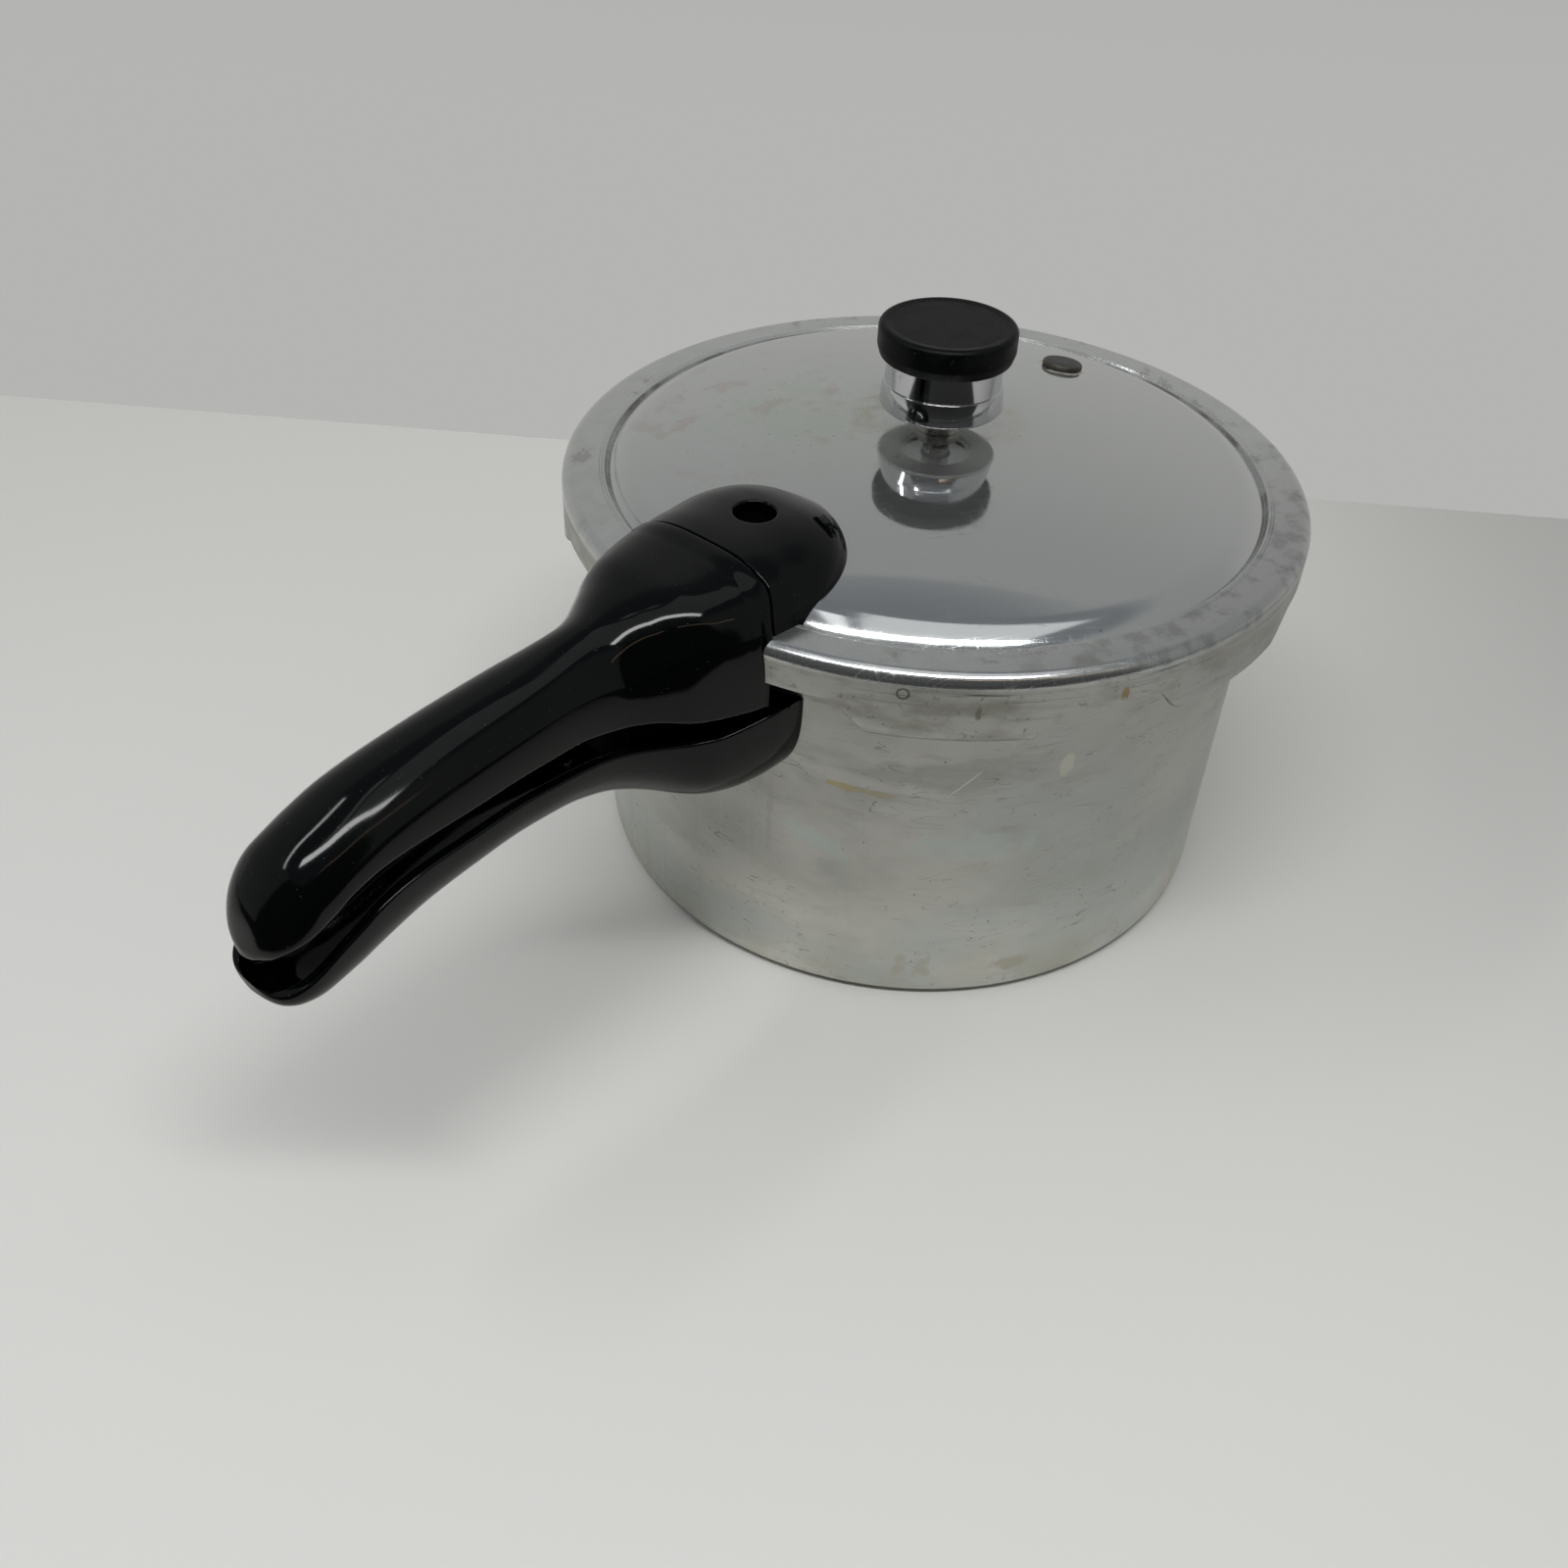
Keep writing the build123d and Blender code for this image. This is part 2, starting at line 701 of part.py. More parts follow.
# Cover
cover_rivet_height = shoulder_height - cover_rivet_drop
plug_turn = radians(plug_azimuth)
plug_tilt = dome_slope(plug_place_radius)
plug_rise = sqrt(1 - plug_tilt**2)
plug_plane = Plane(
    origin=(
        plug_place_radius * cos(plug_turn),
        plug_place_radius * sin(plug_turn),
        dome_height(plug_place_radius),
    ),
    x_dir=(-sin(plug_turn), cos(plug_turn), 0),
    z_dir=(plug_tilt * cos(plug_turn), plug_tilt * sin(plug_turn), plug_rise),
)
with BuildPart() as lug_tab:
    ring(skirt_inner_radius, cover_radius, lip_foot, skirt_foot + lug_play)
    tab_top = cover_radius * sin(radians(tab_top_angle / 2))
    tab_foot = cover_radius * sin(radians(tab_foot_angle / 2))
    with BuildSketch(Plane.YZ):
        with BuildLine():
            Polyline(
                (-tab_foot, lip_foot),
                (tab_foot, lip_foot),
                (tab_top, skirt_foot + lug_play),
                (-tab_top, skirt_foot + lug_play),
                close=True,
            )
        make_face()
    extrude(amount=2 * cover_radius, mode=Mode.INTERSECT)
    ring(lip_radius, skirt_inner_radius + cover_wall / 2, lip_foot, lip_top, -lip_angle / 2, lip_angle)

with BuildPart() as cover:
    revolve(cover_outline(0, skirt_foot), axis=Axis.Z)
    revolve(cover_lining(), axis=Axis.Z, mode=Mode.SUBTRACT)
    with PolarLocations(0, lug_count, start_angle=lug_turn):
        add(lug_tab.part)
    disc(level_plane(0, shoulder_inner), vent_hole_radius, crown_rise + cover_wall, Mode.SUBTRACT)
    disc(level_plane(lock_place_radius, shoulder_inner), pin_hole_radius, crown_rise, Mode.SUBTRACT)
    disc(plug_plane.offset(cover_wall), plug_neck_radius + hole_gap, -3 * cover_wall, Mode.SUBTRACT)
    rivet_holes((cover_rivet_height,), skirt_inner_radius - cover_wall, cover_radius + cover_wall)
cover.part.label = "cover"
export_step(cover.part, "parts/cover.step")

# Bracket on the cover's skirt, with the tongue that carries the upper handle
cover_bracket_outer = cover_bracket_radius + bracket_thickness
with BuildPart() as cover_bracket:
    ring(
        cover_bracket_radius,
        cover_bracket_outer,
        cover_bracket_foot,
        cover_bracket_top,
        -bracket_half_angle,
        2 * bracket_half_angle,
    )
    tongue(
        cover_bracket_radius + bracket_thickness / 2,
        cover_tongue_length,
        cover_screw_place,
        cover_bracket_foot,
    )
    rivet_holes((cover_rivet_height,), skirt_inner_radius, cover_bracket_outer + bracket_thickness)
cover_bracket.part.label = "cover_bracket"
export_step(cover_bracket.part, "parts/cover_bracket.step")

with BuildPart() as cover_bracket_rivets:
    for rivet_azimuth in (-rivet_angle, rivet_angle):
        rivet(rivet_azimuth, cover_rivet_height, skirt_inner_radius, cover_bracket_outer)
cover_bracket_rivets.part.label = "cover_bracket_rivets"
export_step(cover_bracket_rivets.part, "parts/cover_bracket_rivets.step")

# Upper handle: an arched shell with a nose over the dome and a window above the lock pin
cover_tongue_top = cover_bracket_foot + tongue_thickness
cover_pocket_radius = cover_bracket_outer + rivet_head_height + 2 * running_gap
cover_trough_end = cover_radius + upper_tip - trough_end_wall
seam = min(upper_stations(), key=lambda station: abs(station.along - cover_radius + seam_setback))
seam_start = seam.along - seam_width / 2
with BuildPart() as seam_band:
    for mode, growth in ((Mode.ADD, seam_depth), (Mode.SUBTRACT, -seam_depth)):
        band = seam._replace(
            along=seam_start,
            half_width=seam.half_width + growth,
            crown=seam.crown + growth,
        )
        extrude(handle_section(band), amount=seam_width, mode=mode)

with BuildPart() as cover_handle:
    outside = upper_stations()
    hollow = trough_stations(outside, cover_radius, cover_trough_end)
    loft([handle_section(station) for station in outside])
    loft([handle_section(station) for station in hollow], mode=Mode.SUBTRACT)
    boss_plane = level_plane(cover_screw_place, cover_tongue_top)
    disc(boss_plane, boss_radius, cover_boss_length)
    disc(boss_plane, screw_radius + hole_gap, screw_tail + running_gap, Mode.SUBTRACT)
    revolve(cover_outline(bedding_gap, 0), axis=Axis.Z, mode=Mode.SUBTRACT)
    ring(
        cover_radius,
        cover_pocket_radius,
        0,
        cover_bracket_top + running_gap,
        -bracket_half_angle - pocket_margin_angle,
        2 * (bracket_half_angle + pocket_margin_angle),
        Mode.SUBTRACT,
    )
    disc(level_plane(lock_place_radius, shoulder_height), window_radius, 2 * crown_rise, Mode.SUBTRACT)
    add(seam_band.part, mode=Mode.SUBTRACT)
cover_handle.part.label = "cover_handle"
export_step(cover_handle.part, "parts/cover_handle.step")

cover_washer_foot = cover_bracket_foot - washer_thickness
with BuildPart() as cover_handle_washer:
    washer(cover_screw_place, cover_washer_foot, washer_radius, screw_radius + hole_gap, washer_thickness)
cover_handle_washer.part.label = "cover_handle_washer"
export_step(cover_handle_washer.part, "parts/cover_handle_washer.step")

with BuildPart() as cover_handle_screw:
    screw(cover_screw_place, cover_washer_foot, washer_thickness + tongue_thickness + screw_tail)
cover_handle_screw.part.label = "cover_handle_screw"
export_step(cover_handle_screw.part, "parts/cover_handle_screw.step")

# Vent pipe through the crown, with its washer and nut inside
vent_foot = crown_height - cover_wall - vent_thread_length
vent_washer_top = dome_height(vent_washer_radius) - cover_wall - hole_gap
with BuildPart() as vent_pipe:
    ring(vent_bore_radius, vent_radius, vent_foot, vent_top)
    pipe_ends = vent_pipe.edges().filter_by(GeomType.CIRCLE).group_by(Axis.Z)
    chamfer(pipe_ends[-1].sort_by(SortBy.RADIUS)[-1], vent_tip_chamfer)
    flange_top = crown_height + vent_flange_height
    ring(vent_bore_radius, vent_flange_radius, crown_height + hole_gap, flange_top)
vent_pipe.part.label = "vent_pipe"
export_step(vent_pipe.part, "parts/vent_pipe.step")

vent_nut_top = vent_washer_top - vent_washer_thickness
with BuildPart() as vent_pipe_washer:
    washer(0, vent_nut_top, vent_washer_radius, vent_hole_radius, vent_washer_thickness)
vent_pipe_washer.part.label = "vent_pipe_washer"
export_step(vent_pipe_washer.part, "parts/vent_pipe_washer.step")

with BuildPart() as vent_pipe_nut:
    with BuildSketch(Plane.XY.offset(vent_nut_top)):
        RegularPolygon(vent_nut_flats / 2, 6, major_radius=False)
        Circle(vent_hole_radius, mode=Mode.SUBTRACT)
    extrude(amount=-vent_nut_height)
vent_pipe_nut.part.label = "vent_pipe_nut"
export_step(vent_pipe_nut.part, "parts/vent_pipe_nut.step")

# Overpressure plug: a rubber button that fills its own hole in the dome
with BuildPart() as overpressure_plug:
    disc(plug_plane.offset(bedding_gap), plug_head_radius, plug_head_height)
    fillet(overpressure_plug.edges().filter_by(GeomType.CIRCLE).sort_by(Axis.Z)[-1], plug_head_round)
    disc(plug_plane.offset(bedding_gap), plug_neck_radius, -cover_wall - 2 * bedding_gap)
    disc(plug_plane.offset(-cover_wall - bedding_gap), plug_tail_radius, -plug_tail_height)
overpressure_plug.part.label = "overpressure_plug"
export_step(overpressure_plug.part, "parts/overpressure_plug.step")

# Cover lock pin, with the gasket on its head and the cap that shows in the handle's window
pin_end = pin_cap_foot + pin_cap_height - pin_cap_skin - hole_gap
with BuildPart() as lock_pin:
    disc(level_plane(lock_place_radius, pin_head_top), pin_head_radius, -pin_head_height)
    disc(level_plane(lock_place_radius, pin_head_top), pin_radius, pin_end - pin_head_top)
lock_pin.part.label = "lock_pin"
export_step(lock_pin.part, "parts/lock_pin.step")

gasket_foot = gasket_top - gasket_thickness
with BuildPart() as lock_pin_gasket:
    washer(lock_place_radius, gasket_foot, gasket_radius, pin_radius + hole_gap, gasket_thickness)
lock_pin_gasket.part.label = "lock_pin_gasket"
export_step(lock_pin_gasket.part, "parts/lock_pin_gasket.step")

with BuildPart() as lock_pin_cap:
    cap_plane = level_plane(lock_place_radius, pin_cap_foot)
    disc(cap_plane, pin_cap_radius, pin_cap_height)
    disc(cap_plane, pin_radius + hole_gap, pin_cap_height - pin_cap_skin, Mode.SUBTRACT)
lock_pin_cap.part.label = "lock_pin_cap"
export_step(lock_pin_cap.part, "parts/lock_pin_cap.step")

# Regulator: a chromed weight with a seat inside and a moulded cap on top
weight_bore_radius = vent_radius + weight_bore_clearance
weight_taper = (weight_foot_radius - weight_neck_radius) / weight_height
weight_groove_foot = regulator_foot + weight_groove_height
weight_groove_wall = weight_foot_radius - weight_taper * weight_groove_height
spigot_foot = weight_top - cap_spigot_depth
with BuildPart() as regulator_weight:
    with BuildSketch(Plane.XZ):
        with BuildLine():
            Polyline(
                (0, regulator_foot),
                (weight_foot_radius, regulator_foot),
                (weight_neck_radius, weight_top),
                (0, weight_top),
                close=True,
            )
        make_face()
    revolve(axis=Axis.Z)
    ring(0, weight_recess_radius, regulator_foot, regulator_foot + weight_recess_depth, mode=Mode.SUBTRACT)
    ring(0, weight_bore_radius, regulator_foot, seat_foot, mode=Mode.SUBTRACT)
    ring(0, seat_radius + hole_gap, seat_foot, seat_foot + seat_height, mode=Mode.SUBTRACT)
    ring(0, cap_spigot_radius + hole_gap, spigot_foot, weight_top, mode=Mode.SUBTRACT)
    ring(
        weight_groove_wall - weight_groove_depth,
        weight_foot_radius + weight_groove_depth,
        weight_groove_foot,
        weight_groove_foot + weight_groove_width,
        mode=Mode.SUBTRACT,
    )
regulator_weight.part.label = "regulator_weight"
export_step(regulator_weight.part, "parts/regulator_weight.step")

with BuildPart() as regulator_seat:
    ring(0, seat_radius, seat_foot, seat_foot + seat_height)
regulator_seat.part.label = "regulator_seat"
export_step(regulator_seat.part, "parts/regulator_seat.step")

with BuildPart() as regulator_cap:
    ring(0, cap_radius, weight_top, weight_top + cap_height)
    fillet(regulator_cap.edges().filter_by(GeomType.CIRCLE).sort_by(Axis.Z)[-1], cap_round)
    ring(0, cap_spigot_radius, spigot_foot, weight_top)
regulator_cap.part.label = "regulator_cap"
export_step(regulator_cap.part, "parts/regulator_cap.step")

# Cooking rack that stands on the pot's floor
rack_foot = pot_floor + running_gap
with BuildPart() as cooking_rack:
    disc(level_plane(0, rack_foot), rack_radius, rack_height)
    disc(level_plane(0, rack_foot), rack_radius - rack_sheet, rack_height - rack_sheet, Mode.SUBTRACT)
    with BuildSketch(Plane.XY.offset(rack_foot)):
        Circle(rack_hole_radius)
        for hole_ring in range(rack_ring_count):
            ring_radius = rack_first_ring + hole_ring * rack_ring_pitch
            with PolarLocations(ring_radius, (hole_ring + 1) * rack_first_ring_holes):
                Circle(rack_hole_radius)
    extrude(amount=rack_height, mode=Mode.SUBTRACT)
cooking_rack.part.label = "cooking_rack"
export_step(cooking_rack.part, "parts/cooking_rack.step")
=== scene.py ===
"""Dress a packed stovetop pressure cooker: smooth metal and moulded surfaces, used finishes, floor and light.

Sizes are in millimetres, measured in the part's own frame: the origin is the centre of the pot's base,
+Z is up and +X runs out along the handle. Meshes are scaled to metres when they are made.
"""
import json
import logging
import math
from dataclasses import dataclass
from enum import Enum
from typing import Callable, Optional, Sequence, Union

import bmesh
import bpy
import numpy as np
from mathutils import Matrix, Vector


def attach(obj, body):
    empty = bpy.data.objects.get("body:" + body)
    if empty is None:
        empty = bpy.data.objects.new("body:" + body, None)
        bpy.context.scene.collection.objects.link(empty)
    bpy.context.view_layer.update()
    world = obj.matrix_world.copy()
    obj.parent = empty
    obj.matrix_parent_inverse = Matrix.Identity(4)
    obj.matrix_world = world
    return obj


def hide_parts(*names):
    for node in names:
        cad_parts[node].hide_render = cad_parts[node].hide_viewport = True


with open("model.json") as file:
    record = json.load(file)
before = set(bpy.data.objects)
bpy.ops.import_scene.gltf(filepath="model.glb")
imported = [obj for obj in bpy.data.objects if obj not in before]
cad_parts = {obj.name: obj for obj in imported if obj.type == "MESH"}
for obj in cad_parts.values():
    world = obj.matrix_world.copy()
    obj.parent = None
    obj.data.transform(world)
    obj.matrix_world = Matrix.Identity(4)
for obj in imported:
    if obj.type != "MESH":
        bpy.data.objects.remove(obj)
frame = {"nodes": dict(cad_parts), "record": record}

Array = np.ndarray
Band = tuple[Array, Array]
Colour = tuple[float, float, float]
Knots = tuple[float, ...]
Place = tuple[float, float]
Point = tuple[float, float, float]

MILLIMETRE = 0.001
TINY = 1e-6
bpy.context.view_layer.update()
LOG = logging.getLogger("pressure_cooker")


# Surfaces


@dataclass
class Patch:
    """Grid of points, in millimetres, whose neighbours are joined by four-sided faces.

    Attributes:
        points: Array of rows by columns by three coordinates.
        round_columns: Whether the last column joins the first.
        skip: Optional mask of faces to leave out, one entry per face.
    """

    points: Array
    round_columns: bool = False
    skip: Optional[Array] = None

    def faces(self, start: int) -> Array:
        """Work out the corner numbers of every face.

        Args:
            start: Number of the patch's first point in the whole mesh.

        Returns:
            Array of faces by four corner numbers.
        """
        rows, columns = self.points.shape[:2]
        number = start + np.arange(rows * columns).reshape(rows, columns)
        if self.round_columns:
            number = np.concatenate([number, number[:, :1]], axis=1)
        corners = [number[:-1, :-1], number[:-1, 1:], number[1:, 1:], number[1:, :-1]]
        quads = np.stack(corners, axis=-1)
        if self.skip is not None:
            return quads[~self.skip]
        return quads.reshape(-1, 4)


def smooth_step(value: Array, low: float, high: float) -> Array:
    """Rise from 0 at low to 1 at high along 3x squared minus 2x cubed."""
    share = np.clip((value - low) / (high - low), 0.0, 1.0)
    return share * share * (3.0 - 2.0 * share)


@dataclass(frozen=True)
class Curve:
    """Curve through a few knots: cubic pieces whose slopes are limited so that it never overshoots."""

    knots: Knots
    values: Knots

    def __call__(self, at: Array) -> Array:
        """Read the curve.

        Args:
            at: Places along it.

        Returns:
            Values at those places, held level beyond both ends.
        """
        x = np.asarray(self.knots, float)
        y = np.asarray(self.values, float)
        run = np.diff(x)
        rise = np.diff(y) / run
        slope = np.empty_like(y)
        slope[0] = rise[0]
        slope[-1] = rise[-1]
        same_way = rise[:-1] * rise[1:] > 0
        before = 2 * run[1:] + run[:-1]
        after = run[1:] + 2 * run[:-1]
        safe = np.where(same_way, rise[:-1], 1.0), np.where(same_way, rise[1:], 1.0)
        slope[1:-1] = np.where(same_way, (before + after) / (before / safe[0] + after / safe[1]), 0.0)
        place = np.clip(at, x[0], x[-1])
        piece = np.clip(np.searchsorted(x, place, side="right") - 1, 0, len(run) - 1)
        share = (place - x[piece]) / run[piece]
        square = share * share
        cube = square * share
        level = (2 * cube - 3 * square + 1) * y[piece] + (3 * square - 2 * cube) * y[piece + 1]
        lean = (cube - 2 * square + share) * slope[piece] + (cube - square) * slope[piece + 1]
        return level + lean * run[piece]


def rounded(corners: Sequence[Point], steps: int = 6) -> Array:
    """Outline through corners, each eased by an arc of its own radius that is tangent to both sides.

    Args:
        corners: Radius from the axis, height and easing radius of each corner; the ends stay sharp.
        steps: Points on each arc.

    Returns:
        Array of points by radius and height.
    """
    pieces = [np.array([corners[0][:2]])]
    for previous, corner, following in zip(corners, corners[1:], corners[2:]):
        here = np.array(corner[:2])
        back = np.array(previous[:2]) - here
        ahead = np.array(following[:2]) - here
        back /= np.linalg.norm(back)
        ahead /= np.linalg.norm(ahead)
        half = math.acos(float(np.clip(back @ ahead, -1.0, 1.0))) / 2
        middle = back + ahead
        if corner[2] <= 0 or np.linalg.norm(middle) < TINY:
            pieces.append(here[None])
            continue
        middle /= np.linalg.norm(middle)
        centre = here + middle * corner[2] / math.sin(half)
        start = here + back * corner[2] / math.tan(half) - centre
        end = here + ahead * corner[2] / math.tan(half) - centre
        share = np.linspace(0.0, 1.0, steps)[:, None]
        sweep = math.pi - 2 * half
        arc = (np.sin((1 - share) * sweep) * start + np.sin(share * sweep) * end) / math.sin(sweep)
        pieces.append(centre + arc)
    pieces.append(np.array([corners[-1][:2]]))
    return np.concatenate(pieces)


def tangent_arc(start: Array, heading: Array, end: Array, steps: int) -> Array:
    """Arc that leaves a start point along a heading and ends at an end point.

    Its radius is the chord's square over twice the chord's share across the heading.

    Args:
        start: First point.
        heading: Unit direction at the first point.
        end: Last point.
        steps: Number of points.

    Returns:
        Array of points by two coordinates.
    """
    chord = np.asarray(end, float) - start
    across = np.array([-heading[1], heading[0]])
    radius = (chord @ chord) / (2 * (chord @ across))
    sweep = 2 * math.atan2(chord @ across, chord @ heading)
    turn = np.linspace(0.0, sweep, steps)[:, None]
    return start + radius * (np.sin(turn) * heading + (1 - np.cos(turn)) * across)


def quarter_turn(steps: int) -> Array:
    """Angles at the ends of even steps of a quarter turn."""
    return np.linspace(0.0, math.pi / 2, steps + 1)[1:]


def full_turn(columns: int) -> Array:
    """Even angles round the axis."""
    return np.linspace(0.0, 2 * math.pi, columns, endpoint=False)


def arch_angles(half_count: int, crowding: float) -> Array:
    """Angles from 0 to a half turn, closer together at both feet and at the crown.

    With q even from 0 to 1, a half's angle is a quarter turn times q^a over q^a plus (1 - q)^a.

    Args:
        half_count: Angles on each half, the crown included.
        crowding: The power a.

    Returns:
        Row of angles in radians.
    """
    q = np.linspace(0.0, 1.0, half_count)
    half = math.pi / 2 * q**crowding / (q**crowding + (1 - q) ** crowding)
    return np.concatenate([half, math.pi - half[-2::-1]])[None, :]


def turned(bands: Sequence[Band], angles: Array, centre: Place = (0.0, 0.0)) -> Patch:
    """Carry bands of rows round an upright axis: a point goes to (r cos a, r sin a, z) from the centre.

    Args:
        bands: Radii and heights of rows, the same all round or one for each angle.
        angles: Angles of the columns, in radians.
        centre: Place of the axis.

    Returns:
        Patch of all the bands in order, closed round the axis.
    """
    columns = len(angles)
    radius, height = (
        np.concatenate([np.broadcast_to(rows, (len(rows), columns)) for rows in part]) for part in zip(*bands)
    )
    x = centre[0] + radius * np.cos(angles)
    y = centre[1] + radius * np.sin(angles)
    return Patch(np.stack([x, y, height], axis=-1), True)


def all_round(profile: Array) -> Band:
    """Band whose radii and heights are the same all round."""
    return profile[:, :1], profile[:, 1:]


def lathe(profile: Array, columns: int, centre: Place = (0.0, 0.0)) -> Patch:
    """Carry one profile of radius and height round an upright axis, in even columns."""
    return turned([all_round(profile)], full_turn(columns), centre)


def signed_power(value: Array, power: Array) -> Array:
    """Power of the size of each value, with its sign kept."""
    return np.sign(value) * np.abs(value) ** power


def edge_loop(grid: Array, rows: slice, columns: slice) -> Array:
    """Points round the edge of a block of a grid, in order."""
    block = grid[rows, columns]
    return np.concatenate([block[0, :-1], block[:-1, -1], block[-1, :0:-1], block[:0:-1, 0]])


@dataclass(frozen=True)
class Bore:
    """Round hole with an eased mouth, cut into a grid of points in place of a block of its faces.

    Attributes:
        along: Place of its axis along the handle.
        ease: Radius of its mouth's edge.
        reach: Half size of the block of faces that it takes the place of.
        flow: Shares of the way from the block's edge to the mouth at which rings lie.
        ease_steps: Rings on the mouth's edge.
    """

    along: float
    radius: float
    ease: float
    reach: float
    flow: Knots = (0.3, 0.6, 0.85, 1.0)
    ease_steps: int = 6

    def block(self, grid: Array) -> tuple[slice, slice]:
        """Find the block from the grid's middle column and middle row.

        Args:
            grid: Points of the surface that is cut.

        Returns:
            Rows and columns of the block.
        """
        middle = grid.shape[1] // 2
        rows = np.flatnonzero(np.abs(grid[:, middle, 0] - self.along) < self.reach)
        row = grid[rows[len(rows) // 2]]
        columns = np.flatnonzero(np.abs(row[:, 1]) < self.reach)
        columns = columns[np.abs(columns - middle) < middle // 2]
        return slice(rows[0], rows[-1] + 1), slice(columns[0], columns[-1] + 1)

    def ring(self, loop: Array, radius: float) -> Array:
        """Plan of a circle about the axis, one point in line with each point of a loop."""
        turn = np.arctan2(loop[:, 1], loop[:, 0] - self.along)
        return np.stack([self.along + radius * np.cos(turn), radius * np.sin(turn)], axis=-1)

    def mouth(self, loop: Array, skin: Callable[[Array, Array], Array], way: float) -> list[Array]:
        """Rings from the block's edge to the top of the wall, the last ones on a quarter circle.

        Args:
            loop: Edge of the block.
            skin: Height of the surface over a point of the plan.
            way: 1 where the hole is cut from below, -1 from above.

        Returns:
            Rings of points.
        """
        outer = self.ring(loop, self.radius + self.ease)
        rings = [loop]
        for share in self.flow:
            plan = loop[:, :2] * (1 - share) + outer * share
            rings.append(np.column_stack([plan, skin(plan[:, 0], plan[:, 1])]))
        level = rings[-1][:, 2]
        for turn in quarter_turn(self.ease_steps):
            plan = self.ring(loop, self.radius + self.ease * (1 - math.sin(turn)))
            rings.append(np.column_stack([plan, level + way * self.ease * (1 - math.cos(turn))]))
        return rings


# Shader maths


Value = Union["Signal", float, int]
Coat = tuple["Signal", object]


class Signal:
    """Shader socket whose numbers combine with Python's operators, each adding a Math node."""

    def __init__(self, shader: "Shader", socket: bpy.types.NodeSocket) -> None:
        """Keep the socket and the tree that it belongs to."""
        self.shader = shader
        self.socket = socket

    def _maths(self, operation: str, first: Value, second: Value = 0.0) -> "Signal":
        """Add one Math node."""
        return self.shader.node("ShaderNodeMath", {"operation": operation}, {0: first, 1: second})

    def __add__(self, other: Value) -> "Signal":
        """Sum."""
        return self._maths("ADD", self, other)

    def __radd__(self, other: Value) -> "Signal":
        """Sum with a number on the left."""
        return self._maths("ADD", other, self)

    def __sub__(self, other: Value) -> "Signal":
        """Difference."""
        return self._maths("SUBTRACT", self, other)

    def __rsub__(self, other: Value) -> "Signal":
        """Difference from a number."""
        return self._maths("SUBTRACT", other, self)

    def __mul__(self, other: Value) -> "Signal":
        """Product."""
        return self._maths("MULTIPLY", self, other)

    def __rmul__(self, other: Value) -> "Signal":
        """Product with a number on the left."""
        return self._maths("MULTIPLY", other, self)

    def __truediv__(self, other: Value) -> "Signal":
        """Quotient."""
        return self._maths("DIVIDE", self, other)

    def __pow__(self, other: Value) -> "Signal":
        """Power."""
        return self._maths("POWER", self, other)

    def distance_to(self, centre: float) -> "Signal":
        """Absolute difference from a centre."""
        return self._maths("ABSOLUTE", self - centre)

    def bearing(self, other: "Signal") -> "Signal":
        """Angle, in degrees, of a vector in plan whose parts are the other signal and this one."""
        return self._maths("ARCTAN2", self, other) * math.degrees(1.0)

    def peak(self, other: Value) -> "Signal":
        """Larger of two values."""
        return self._maths("MAXIMUM", self, other)

    def ramp(self, low: float, high: float) -> "Signal":
        """Rise smoothly from 0 to 1.

        Args:
            low: Value at which it is 0.
            high: Value at which it is 1; where it is below low, the ramp falls.

        Returns:
            Signal of the ramp.
        """
        first, last = sorted((low, high))
        settings = {"interpolation_type": "SMOOTHSTEP", "clamp": True}
        rise = self.shader.node("ShaderNodeMapRange", settings, {0: self, 1: first, 2: last})
        return rise if low < high else 1 - rise


def plan_length(x: Signal, y: Signal) -> Signal:
    """Length of a vector in plan, from its two parts."""
    return (x * x + y * y) ** 0.5


